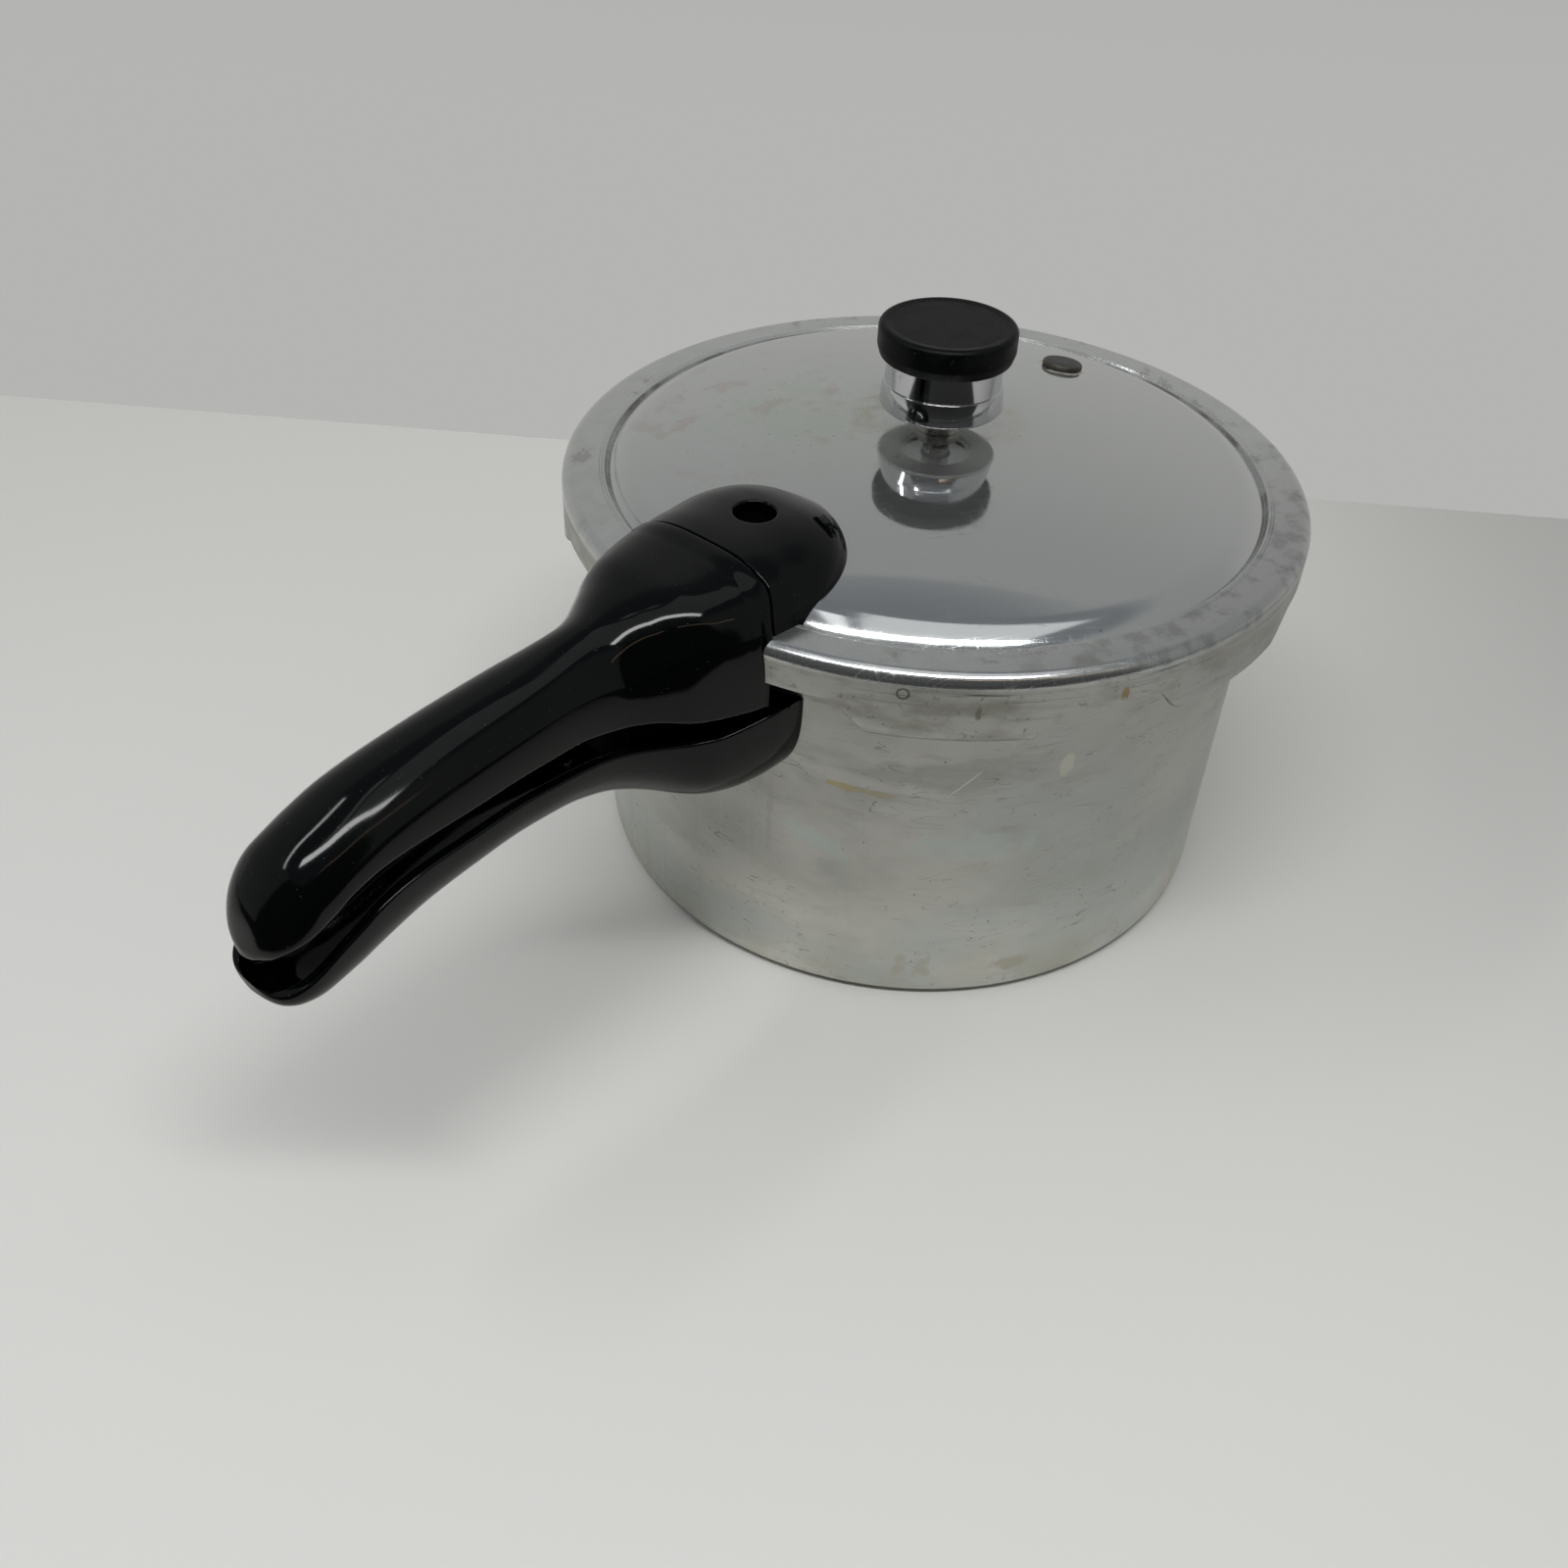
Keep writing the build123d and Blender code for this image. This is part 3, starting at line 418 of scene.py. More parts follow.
class Shader:
    """Node tree of a material or of the surroundings, and the shader node that it sets up.

    Attributes:
        SPECK_CORE: Share of a speck's radius inside which it is full.
        SPECK_EDGE: Range of chance over which a speck fades in.
        SCRATCH_PATCHES: Patches of scratches per metre.
        SCRATCH_START: Noise at which a patch starts, less half of the share that has lines.
        SCRATCH_EDGE: Range of noise over which a patch fades in.
    """

    SPECK_CORE = 0.55
    SPECK_EDGE = 0.02
    SCRATCH_PATCHES = 70.0
    SCRATCH_START = 0.62
    SCRATCH_EDGE = 0.10

    def __init__(self, owner: Union[bpy.types.Material, bpy.types.World]) -> None:
        """Switch on the nodes of a material or of the surroundings.

        Args:
            owner: What the tree belongs to.
        """
        owner.use_nodes = True
        self.tree = owner.node_tree
        nodes = self.tree.nodes
        self.surface = nodes.get("Principled BSDF") or nodes["Background"]

    def node(
        self,
        kind: str,
        settings: Optional[dict[str, object]] = None,
        inputs: Optional[dict[Union[int, str], object]] = None,
        output: Union[int, str] = 0,
    ) -> Signal:
        """Add a node, set it up, and fill its sockets.

        Args:
            kind: Blender's name of the node's type.
            settings: Properties set before the sockets.
            inputs: Values or signals by socket name or number.
            output: Name or number of the socket to hand on.

        Returns:
            Signal of that output.
        """
        made = self.tree.nodes.new(kind)
        for key, value in (settings or {}).items():
            setattr(made, key, value)
        for key, value in (inputs or {}).items():
            self._feed(made.inputs[key], value)
        return Signal(self, made.outputs[output])

    def _feed(self, socket: bpy.types.NodeSocket, value: object) -> None:
        """Link a signal to a socket, or set the socket's own value.

        Args:
            socket: Socket to fill.
            value: Signal, number, vector or colour.
        """
        if isinstance(value, Signal):
            self.tree.links.new(value.socket, socket)
        elif isinstance(value, tuple) and socket.type == "RGBA":
            socket.default_value = (*value, 1.0)
        else:
            socket.default_value = value

    def set(self, **sockets: object) -> None:
        """Set the shader node's sockets, named with underscores for spaces."""
        for key, value in sockets.items():
            self._feed(self.surface.inputs[key.replace("_", " ").title().replace("Ior", "IOR")], value)

    def show(self, shader_output: Signal) -> None:
        """Show another shader's output in place of the Principled one."""
        self._feed(self.tree.nodes["Material Output"].inputs["Surface"], shader_output)

    def plain(self) -> Signal:
        """Output of the shader node itself."""
        return Signal(self, self.surface.outputs[0])

    def other(self, signal: Signal, output: Union[int, str]) -> Signal:
        """Another output of the node that a signal comes from."""
        return Signal(self, signal.socket.node.outputs[output])

    def place(self) -> Signal:
        """Object coordinates, in metres."""
        return self.node("ShaderNodeTexCoord", output="Object")

    def split(self, vector: Signal) -> tuple[Signal, Signal, Signal]:
        """Three parts of a vector."""
        first = self.node("ShaderNodeSeparateXYZ", inputs={0: vector})
        return first, self.other(first, 1), self.other(first, 2)

    def axes(self) -> tuple[Signal, Signal, Signal]:
        """Object coordinates, in millimetres, one by one."""
        x, y, z = self.split(self.place())
        return x / MILLIMETRE, y / MILLIMETRE, z / MILLIMETRE

    def polar(self) -> tuple[Signal, Signal, Signal]:
        """Radius in millimetres, angle in degrees and height in millimetres about the pot's axis."""
        x, y, z = self.axes()
        return plan_length(x, y), y.bearing(x), z

    def gap_to(self, centre: Place) -> Signal:
        """Distance in millimetres, in plan, to an upright line."""
        x, y, _ = self.axes()
        return plan_length(x - centre[0], y - centre[1])

    def vector(self, x: Value, y: Value, z: Value) -> Signal:
        """Join three values into a vector."""
        return self.node("ShaderNodeCombineXYZ", inputs={0: x, 1: y, 2: z})

    def stretched(self, scales: Point, turn: float = 0.0) -> Signal:
        """Object coordinates, turned about the upright axis and then scaled along each axis.

        Args:
            scales: Scale along each axis.
            turn: Turn in degrees.

        Returns:
            Signal of the coordinates.
        """
        rotation = (0.0, 0.0, math.radians(turn))
        sizes = tuple(1 / scale for scale in scales)
        inputs = {"Vector": self.place(), "Rotation": rotation, "Scale": sizes}
        return self.node("ShaderNodeMapping", {"vector_type": "TEXTURE"}, inputs)

    def noise(
        self, scale: float, detail: float = 3.0, vector: Optional[Signal] = None, **more: float
    ) -> Signal:
        """Cloudy noise between 0 and 1.

        Args:
            scale: Clouds per unit of the vector; per metre on object coordinates.
            detail: Number of finer layers.
            vector: Coordinates to read, or object coordinates where left out.
            more: Other sockets, such as Roughness or Distortion.

        Returns:
            Signal of the noise.
        """
        inputs = {"Vector": vector or self.place(), "Scale": scale, "Detail": detail, **more}
        return self.node("ShaderNodeTexNoise", inputs=inputs)

    def streaks(self, scales: Point, detail: float, turn: float = 0.0, **more: float) -> Signal:
        """Cloudy noise with its own scale, in clouds per metre, along each turned axis."""
        return self.noise(1.0, detail, self.stretched(scales, turn), **more)

    def specks(self, scale: float, size: float, share: float) -> Signal:
        """Scattered round specks: cells of a Voronoi pattern, some of which hold a dot.

        Args:
            scale: Cells per metre.
            size: Radius of a dot, as a share of a cell.
            share: Share of the cells that hold one.

        Returns:
            1 on a speck and 0 off it.
        """
        cell = self.node("ShaderNodeTexVoronoi", inputs={"Vector": self.place(), "Scale": scale})
        chance = self.split(self.other(cell, "Color"))[0]
        chosen = chance.ramp(1 - share, 1 + self.SPECK_EDGE - share)
        return cell.ramp(size, size * self.SPECK_CORE) * chosen

    def scratches(self, scales: Point, turn: float, width: float, share: float) -> Signal:
        """Thin broken lines, where a stretched noise passes its middle value.

        Args:
            scales: Scale along each axis; the lines run along the axis with the smallest.
            turn: Turn about the upright axis, in degrees.
            width: Half width of a line, in noise value.
            share: Share of the surface that has lines.

        Returns:
            1 on a line and 0 off it.
        """
        line = self.streaks(scales, 1.0, turn).distance_to(0.5).ramp(width, 0.0)
        start = self.SCRATCH_START - share / 2
        return line * self.noise(self.SCRATCH_PATCHES, 2.0).ramp(start, start + self.SCRATCH_EDGE)

    def mix(self, factor: Value, first: object, second: object) -> Signal:
        """Colour that goes from first to second with the factor."""
        inputs = {"Factor": factor, 6: first, 7: second}
        return self.node("ShaderNodeMix", {"data_type": "RGBA"}, inputs, output=2)

    def layers(self, base: object, *coats: Coat) -> Signal:
        """Lay coats over a colour.

        Args:
            base: Colour without coats.
            coats: Mask and colour of each coat, the last one on top.

        Returns:
            Colour with the coats.
        """
        for mask, colour in coats:
            base = self.mix(mask, base, colour)
        return base

    def bump(self, height: Signal, depth: float) -> Signal:
        """Normal of a surface whose height varies; depth is in millimetres."""
        inputs = {"Height": height, "Distance": depth * MILLIMETRE, "Strength": 1.0}
        return self.node("ShaderNodeBump", inputs=inputs, output="Normal")


# Finishes


@dataclass(frozen=True)
class Finish:
    """Look of a surface, under the record's slot that it stands for."""

    name: str
    slot: str

    def paint(self, shader: Shader) -> None:
        """Add this finish's nodes."""
        raise NotImplementedError

    def material(self) -> bpy.types.Material:
        """Make the material once and hand it out after that.

        Returns:
            The material.
        """
        found = bpy.data.materials.get(self.name)
        if found:
            return found
        made = bpy.data.materials.new(self.name)
        self.paint(Shader(made))
        return made


@dataclass(frozen=True)
class Mark:
    """Smear or scratch on an upright wall: a soft oval that may lean.

    Attributes:
        azimuth: Angle of its middle about the pot's axis, in degrees.
        half_turn: Half of its width, in degrees.
        colour: Colour of the metal under it.
        lean: Rise per degree.
        ragged: How far noise eats into its edge.
        strength: How much of the metal's own colour it hides.
    """

    azimuth: float
    height: float
    half_turn: float
    half_height: float
    colour: Colour
    lean: float = 0.0
    ragged: float = 0.9
    strength: float = 0.8

    def coat(self, shader: Shader, angle: Signal, height: Signal) -> Coat:
        """Work out where the mark lies: a sum of squares, eaten into by noise, is small inside it.

        Args:
            shader: Tree to add to.
            angle: Angle about the pot's axis, in degrees.
            height: Height.

        Returns:
            Mask of the mark, and its colour.
        """
        turn = angle - self.azimuth
        across = turn / self.half_turn
        rise = (height - self.height - turn * self.lean) / self.half_height
        eaten = (shader.noise(260.0, 4.0) - 0.5) * (2 * self.ragged)
        return (across * across + rise * rise + eaten).ramp(1.2, 0.35) * self.strength, self.colour


@dataclass(frozen=True)
class PolishedCover(Finish):
    """Polished aluminium, used: haze, rings of polishing, cooked-on film and a duller, stained skirt.

    Attributes:
        line_inset: Distance from the groove to the fine line inside it.
        front_side: Direction, in plan, of the side that is used most.
        plug_place: Plan of the rubber plug, which has a fringe of residue.
        film_place: Plan of the middle of the cooked-on film.
        foot_film_place: Plan of the middle of the ring of film under the regulator.
        punch_place: Azimuth and height of a small punched ring on the skirt.
        degree_length: Length of a degree round the skirt.
    """

    tone: Colour = (0.57, 0.583, 0.577)
    film: Colour = (0.50, 0.47, 0.38)
    green: Colour = (0.54, 0.585, 0.53)
    bloom: Colour = (0.50, 0.44, 0.41)
    dirt: Colour = (0.04, 0.038, 0.032)
    skirt_tone: Colour = (0.41, 0.41, 0.385)
    skirt_stain: Colour = (0.285, 0.28, 0.245)
    shade: Colour = (0.30, 0.305, 0.30)
    residue: Colour = (0.36, 0.33, 0.25)
    groove_radius: float = 99.7
    line_inset: float = 2.7
    # front_side: Direction, in plan, of the front; painted shade darkens the skirt and shoulder to its right.
    front_side: Place = (0.81, 0.59)
    plug_place: Place = (-73.9, -3.5)
    film_place: Place = (24.0, -52.0)
    foot_film_place: Place = (-3.0, -3.0)
    punch_place: Place = (33.5, 122.4)
    punch_radius: float = 1.5
    degree_length: float = 1.97
    marks: tuple[Mark, ...] = (
        Mark(63.6, 119.6, 0.7, 2.2, (0.26, 0.19, 0.07)),
        Mark(25.8, 112.7, 2.2, 0.4, (0.12, 0.12, 0.11), -1.6, 0.4),
        Mark(43.5, 118.0, 0.5, 2.4, (0.17, 0.16, 0.13), 0.0, 1.3),
        Mark(84.0, 120.0, 9.0, 1.8, (0.33, 0.32, 0.28)),
        Mark(-60.0, 119.0, 8.0, 1.6, (0.32, 0.31, 0.27)),
        Mark(175.0, 120.0, 6.0, 1.8, (0.34, 0.33, 0.28)),
    )

    def side(self, shader: Shader, right: Signal) -> tuple[Signal, Signal, Signal]:
        """Stain the skirt with clouds, level streaks, pits, a punched ring and marks, and paint shade on its
        right.

        Args:
            shader: Tree to add to.
            right: Distance to the right of the front, across it.

        Returns:
            Colour, roughness and relief.
        """
        _, angle, height = shader.polar()
        streaks = shader.streaks((34.0, 34.0, 900.0), 4.0, Roughness=0.6)
        brushed = shader.streaks((25.0, 25.0, 2200.0), 2.0)
        cloud = shader.streaks((60.0, 60.0, 150.0), 5.0)
        pits = shader.noise(420.0, 4.0, Roughness=0.7).ramp(0.58, 0.68)
        azimuth, rise = self.punch_place
        punch = plan_length((angle - azimuth) * self.degree_length, height - rise)
        colour = shader.layers(
            self.skirt_tone,
            (cloud.ramp(0.42, 0.66), self.skirt_stain),
            (streaks.ramp(0.52, 0.64) * 0.6, self.shade),
            (streaks.ramp(0.60, 0.70) * height.ramp(118.0, 124.0) * 0.7, self.dirt),
            (pits * 0.35, self.dirt),
            (punch.distance_to(self.punch_radius).ramp(0.45, 0.1) * 0.75, self.dirt),
            # Painted shade: the skirt darker towards its right.
            (right.ramp(20.0, 110.0) * 0.4, self.shade),
            *(mark.coat(shader, angle, height) for mark in self.marks),
        )
        rough = 0.22 + cloud * 0.12 + brushed * 0.12
        relief = brushed * 0.5 + streaks * 0.6 - pits * 0.6
        return colour, rough, relief

    def paint(self, shader: Shader) -> None:
        """Blend the dome's film, the grooved ring's dirt, the skirt's stains and the painted shade on the
        shoulder's and skirt's right by place.

        Args:
            shader: Tree to add to.
        """
        radius, _, height = shader.polar()
        x, y, _ = shader.axes()
        near = x * self.front_side[0] + y * self.front_side[1]
        right = y * self.front_side[0] - x * self.front_side[1]
        skirt = height.ramp(126.0, 123.6)
        top = 1 - skirt
        cloud = shader.noise(24.0, 6.0, Distortion=0.7)
        fine_cloud = shader.noise(150.0, 5.0, Roughness=0.65)
        haze = cloud.ramp(0.44, 0.72)
        rings = shader.noise(1.0, 3.0, shader.vector(radius * 2.2, x * 0.012, y * 0.012))
        wipe = shader.streaks((14.0, 70.0, 30.0), 4.0, 28.0).ramp(0.5, 0.72)
        hairlines = shader.scratches((18.0, 520.0, 40.0), -35.0, 0.012, 0.5)
        hairlines = hairlines.peak(shader.scratches((22.0, 640.0, 40.0), 62.0, 0.010, 0.4))
        near_film = shader.gap_to(self.film_place).ramp(64.0, 22.0)
        film = near_film * (cloud * 0.6 + fine_cloud * 0.4).ramp(0.42, 0.58)
        mottle = near_film * shader.noise(85.0, 5.0, Roughness=0.62).ramp(0.55, 0.66)
        specks = shader.specks(230.0, 0.13, 0.05) * 0.6
        specks = specks.peak(shader.specks(520.0, 0.2, 0.14) * near_film * 0.8)
        foot_ring = shader.gap_to(self.foot_film_place).distance_to(21.0).ramp(8.0, 2.0)
        foot_film = foot_ring * near.ramp(12.0, 2.0) * fine_cloud.ramp(0.36, 0.68)
        plug_ring = shader.gap_to(self.plug_place).distance_to(7.3).ramp(1.9, 0.2)
        fringe = plug_ring * fine_cloud.ramp(0.42, 0.56)
        line = radius.distance_to(self.groove_radius - self.line_inset).ramp(0.5, 0.1)
        groove = radius.distance_to(self.groove_radius).ramp(0.75, 0.15)
        groove = groove.peak(line * right.ramp(-35.0, -75.0) * 0.7)
        dirt = groove * (0.45 + shader.noise(60.0, 4.0).ramp(0.42, 0.60) * 0.45) * top
        shoulder = radius.ramp(99.5, 101.5) * top
        stain = shoulder * shader.noise(75.0, 6.0, Roughness=0.7).ramp(0.58, 0.66)
        blotch = (cloud * 0.25 + fine_cloud * 0.75).ramp(0.46, 0.60)
        # Shoulder darker and rougher: blotchy stains all round, plus painted shade towards +Y on its right.
        dull = shoulder * (y.ramp(55.0, 112.0) * (0.45 + blotch * 0.35) + blotch * 0.12)
        side_colour, side_rough, side_relief = self.side(shader, right)

        colour = shader.layers(
            self.tone,
            (haze * 0.25, self.green),
            (film * 0.65, self.green),
            (mottle * 0.55, self.bloom),
            (foot_film * 0.6, self.film),
            (dull, self.shade),
            (fringe * 0.85, self.residue),
            (stain * 0.45, self.skirt_stain),
            (skirt, side_colour),
            (specks * 0.55, self.dirt),
            (dirt * 0.92, self.dirt),
        )
        rough = 0.03 + haze * 0.05 + wipe * 0.03 + rings * 0.03 + film * 0.22 + foot_film * 0.2
        rough = rough + radius.ramp(84.0, 94.0) * 0.05 + shoulder * 0.06 + dull * 0.10
        rough = rough + fringe * 0.4 + stain * 0.12 + dirt * 0.4 + hairlines * 0.14
        rough = rough * top + skirt * side_rough
        relief = shader.noise(34.0, 2.0) * 0.4 + rings * 0.05 + skirt * side_relief
        metal = 0.92 + skirt * 0.08 - fringe * 0.72 - dirt * 0.62
        shader.set(base_color=colour, metallic=metal, roughness=rough, normal=shader.bump(relief, 0.045))


@dataclass(frozen=True)
class SatinPot(Finish):
    """Satin aluminium, mottled by oxide, drips and heat, with painted shade up the wall under the cover's
    skirt.

    Attributes:
        brushed: Fine rings left by spinning, per metre of height.
        heat: Height below which the wall is stained by heat.
        drip_turn: Half angle of the drips under the handle, in degrees.
    """

    tone: Colour = (0.65, 0.645, 0.60)
    dull: Colour = (0.55, 0.545, 0.505)
    shade: Colour = (0.30, 0.295, 0.28)
    cool: Colour = (0.49, 0.535, 0.52)
    oxide: Colour = (0.56, 0.57, 0.53)
    olive: Colour = (0.54, 0.515, 0.42)
    pit: Colour = (0.10, 0.10, 0.09)
    brushed: float = 1500.0
    heat: float = 34.0
    drip_turn: float = 38.0
    marks: tuple[Mark, ...] = ()

    def paint(self, shader: Shader) -> None:
        """Blend clouds of oxide, upright drips, spinning lines, pits and marks, and paint shade on the upper
        wall.

        Args:
            shader: Tree to add to.
        """
        _, angle, height = shader.polar()
        cloud = shader.streaks((22.0, 22.0, 52.0), 6.0, Roughness=0.6)
        patch = shader.streaks((26.0, 26.0, 74.0), 7.0, Roughness=0.64)
        broad = shader.streaks((13.0, 13.0, 20.0), 4.0)
        grain = shader.noise(330.0, 5.0, Roughness=0.7)
        lines = shader.streaks((22.0, 22.0, self.brushed), 2.0)
        drips = shader.streaks((260.0, 260.0, 7.0), 5.0).ramp(0.55, 0.66)
        drips = drips * angle.distance_to(0.0).ramp(self.drip_turn, self.drip_turn * 0.4)
        drips = drips * height.ramp(92.0, 70.0)
        low = height.ramp(self.heat, 2.0) * shader.noise(40.0, 5.0).ramp(0.34, 0.62)
        # Painted shade: the wall darker from low down to the top, as in the shade of the cover's skirt.
        upper = height.ramp(12.0, 52.0) * 0.52 + height.ramp(52.0, 105.0) * 0.14
        pits = shader.specks(150.0, 0.12, 0.05).peak(shader.specks(430.0, 0.2, 0.03))
        long_lines = shader.scratches((30.0, 30.0, 420.0), 0.0, 0.010, 0.45)
        slant = shader.scratches((90.0, 60.0, 330.0), 40.0, 0.008, 0.35)

        colour = shader.layers(
            self.tone,
            (cloud.ramp(0.44, 0.60) * 0.8, self.dull),
            (broad.ramp(0.46, 0.60) * 0.7, self.cool),
            (patch.ramp(0.54, 0.60) * 0.6, self.oxide),
            (patch.distance_to(0.545).ramp(0.012, 0.0) * 0.3, self.olive),
            (upper, self.shade),
            (drips * 0.3, self.oxide),
            (low * 0.45, self.olive),
            (grain.ramp(0.56, 0.70) * 0.18, self.olive),
            (slant * 0.5, self.pit),
            *(mark.coat(shader, angle, height) for mark in self.marks),
            (pits * 0.6, self.pit),
        )
        rough = 0.25 + cloud * 0.10 + patch.ramp(0.5, 0.66) * 0.12 + lines * 0.12 + drips * 0.12 + low * 0.10
        rough = rough - long_lines * 0.08 + slant * 0.06 + (grain - 0.5) * 0.10
        relief = lines * 0.16 + grain * 0.30 + patch * 0.3 - pits * 0.7 - long_lines * 0.3 - slant * 0.25
        shader.set(base_color=colour, metallic=1.0, roughness=rough, normal=shader.bump(relief, 0.05))


@dataclass(frozen=True)
class GlossPhenolic(Finish):
    """Glossy black moulding with the fine ripple, dust and rubbed patches of use."""

    tone: Colour = (0.0008, 0.0011, 0.0011)
    dust: Colour = (0.05, 0.052, 0.05)
    rubbed: Colour = (0.0018, 0.0021, 0.0021)

    def paint(self, shader: Shader) -> None:
        """Scatter dust and vary the gloss.

        Args:
            shader: Tree to add to.
        """
        cloud = shader.noise(45.0, 5.0).ramp(0.45, 0.70)
        dust = shader.specks(620.0, 0.13, 0.07).peak(shader.specks(1300.0, 0.2, 0.05))
        lint = shader.scratches((120.0, 700.0, 420.0), 25.0, 0.010, 0.25)
        ripple = shader.noise(140.0, 3.0) * 0.5 + shader.noise(900.0, 2.0) * 0.06 + dust * 0.4
        colour = shader.layers(self.tone, (cloud * 0.6, self.rubbed), (dust * 0.55, self.dust))
        rough = 0.07 + cloud * 0.05 + dust * 0.3 + lint * 0.12
        shader.set(base_color=colour, roughness=rough, normal=shader.bump(ripple, 0.03))
        shader.set(specular_ior_level=0.2)


@dataclass(frozen=True)
class MattePhenolic(Finish):
    """Matte black moulding with a fine grain, dusty in its dished top."""

    tone: Colour = (0.0014, 0.0018, 0.0018)
    worn: Colour = (0.0040, 0.0046, 0.0045)
    dust: Colour = (0.09, 0.09, 0.085)

    def paint(self, shader: Shader) -> None:
        """Add the mould's grain, wear and dust.

        Args:
            shader: Tree to add to.
        """
        grain = shader.noise(1500.0, 3.0)
        wear = shader.noise(110.0, 5.0).ramp(0.44, 0.70)
        dust = shader.specks(700.0, 0.2, 0.14)
        colour = shader.layers(self.tone, (wear, self.worn), (dust * 0.4, self.dust))
        rough = 0.33 + wear * 0.10 + grain * 0.10 + dust * 0.2
        shader.set(base_color=colour, roughness=rough, normal=shader.bump(grain, 0.028))
        shader.set(specular_ior_level=0.1)


@dataclass(frozen=True)
class BrightChrome(Finish):
    """Chrome plating with dark pits, water spots and an underside that is dull below a height."""

    tone: Colour = (0.58, 0.585, 0.595)
    spot: Colour = (0.42, 0.42, 0.40)
    pit: Colour = (0.03, 0.028, 0.024)
    dull_below: float = 148.6

    def paint(self, shader: Shader) -> None:
        """Turn the bright wall, pitted here and there.

        Args:
            shader: Tree to add to.
        """
        radius, _, height = shader.polar()
        under = height.ramp(self.dull_below + 0.25, self.dull_below - 0.25)
        rings = shader.noise(1.0, 2.0, shader.vector(radius * 3.0, 0.0, 0.0))
        lines = shader.streaks((30.0, 30.0, 2600.0), 2.0)
        pits = shader.specks(300.0, 0.17, 0.14) * shader.noise(60.0, 2.0).ramp(0.40, 0.52)
        spots = shader.noise(240.0, 5.0, Roughness=0.65).ramp(0.56, 0.68)
        colour = shader.layers(self.tone, (spots * 0.4 + under * 0.4, self.spot), (pits * 0.95, self.pit))
        rough = 0.05 + lines * 0.03 + spots * 0.10 + pits * 0.4 + under * (0.2 + rings * 0.2)
        normal = shader.bump(lines * 0.05 - pits * 0.8 + under * rings * 0.6, 0.03)
        shader.set(base_color=colour, metallic=1 - pits * 0.8, roughness=rough, normal=normal)


@dataclass(frozen=True)
class Rubber(Finish):
    """Matte black rubber, bloomed and dusty, with a pale residue round its foot where it has one."""

    tone: Colour = (0.010, 0.0105, 0.010)
    bloom: Colour = (0.040, 0.039, 0.035)
    ring: Colour = (0.10, 0.075, 0.045)
    ring_place: Place = (0.0, 0.0)
    ring_radius: float = 0.0

    def paint(self, shader: Shader) -> None:
        """Cloud the rubber and stain it.

        Args:
            shader: Tree to add to.
        """
        bloom = shader.noise(300.0, 5.0).ramp(0.46, 0.72)
        grain = shader.noise(1800.0, 2.0)
        ring = shader.gap_to(self.ring_place).distance_to(self.ring_radius).ramp(0.8, 0.1)
        colour = shader.layers(self.tone, (bloom, self.bloom), (ring * 0.7 * bloom.peak(0.4), self.ring))
        rough = 0.42 + bloom * 0.2 + grain * 0.08
        shader.set(base_color=colour, roughness=rough, normal=shader.bump(grain + bloom * 0.4, 0.03))


class Grain(Enum):
    """Way that the tool marks run on a steel piece: scale along X, Y and Z, per metre."""

    TURNED = (40.0, 40.0, 3200.0)
    ROLLED = (35.0, 1800.0, 900.0)
    STRUCK = (420.0, 420.0, 420.0)


@dataclass(frozen=True)
class WornSteel(Finish):
    """Steel with tool marks, tarnish and dark specks."""

    tone: Colour = (0.52, 0.52, 0.50)
    tarnish: Colour = (0.24, 0.22, 0.18)
    dark: Colour = (0.06, 0.05, 0.04)
    grain: Grain = Grain.TURNED
    tarnished: float = 0.5

    def paint(self, shader: Shader) -> None:
        """Run the tool marks, then tarnish them.

        Args:
            shader: Tree to add to.
        """
        marks = shader.streaks(self.grain.value, 3.0)
        cloud = shader.noise(170.0, 5.0, Roughness=0.62).ramp(0.42, 0.68)
        specks = shader.specks(480.0, 0.2, 0.18)
        colour = shader.layers(self.tone, (cloud * self.tarnished, self.tarnish), (specks * 0.7, self.dark))
        rough = 0.18 + marks * 0.18 + cloud * 0.16 + specks * 0.2
        relief = marks * 0.5 - specks * 0.6
        shader.set(base_color=colour, metallic=1.0, roughness=rough, normal=shader.bump(relief, 0.03))


POT_MARKS = (
    Mark(27.9, 79.5, 6.4, 1.1, (0.40, 0.36, 0.24), -0.12),
    Mark(25.4, 80.0, 3.0, 1.4, (0.42, 0.37, 0.22), -0.1),
    Mark(60.9, 88.0, 1.3, 4.4, (0.50, 0.49, 0.42), 0.0, 1.7),
    Mark(21.4, 58.0, 6.0, 4.0, (0.44, 0.485, 0.455), -0.6, 2.2),
    Mark(48.0, 62.0, 11.0, 5.0, (0.43, 0.465, 0.445), 0.1, 2.4),
    Mark(72.0, 50.0, 9.0, 4.0, (0.43, 0.45, 0.42), -0.2, 2.4),
    Mark(44.6, 85.0, 3.0, 0.45, (0.60, 0.60, 0.57), 1.87, 0.6),
    Mark(79.0, 64.6, 6.0, 0.25, (0.34, 0.34, 0.32), 0.05, 0.6),
    Mark(66.0, 71.0, 3.0, 0.25, (0.33, 0.33, 0.31), -0.4, 0.6),
    Mark(13.5, 66.0, 0.6, 17.0, (0.40, 0.39, 0.36), 0.06, 1.7),
    Mark(41.5, 14.0, 1.4, 7.5, (0.49, 0.475, 0.41), 0.0, 2.6),
    Mark(37.5, 13.0, 1.2, 5.5, (0.50, 0.485, 0.42), 0.0, 2.6),
    Mark(57.0, 12.0, 4.0, 3.0, (0.46, 0.43, 0.35), 0.0, 1.6),
    Mark(-150.0, 60.0, 12.0, 6.0, (0.44, 0.465, 0.43), 0.1, 2.4),
    Mark(160.0, 84.0, 5.0, 2.0, (0.42, 0.36, 0.22), 0.1, 1.8),
    Mark(-80.0, 72.0, 11.0, 5.0, (0.44, 0.46, 0.425), -0.1, 2.4),
)

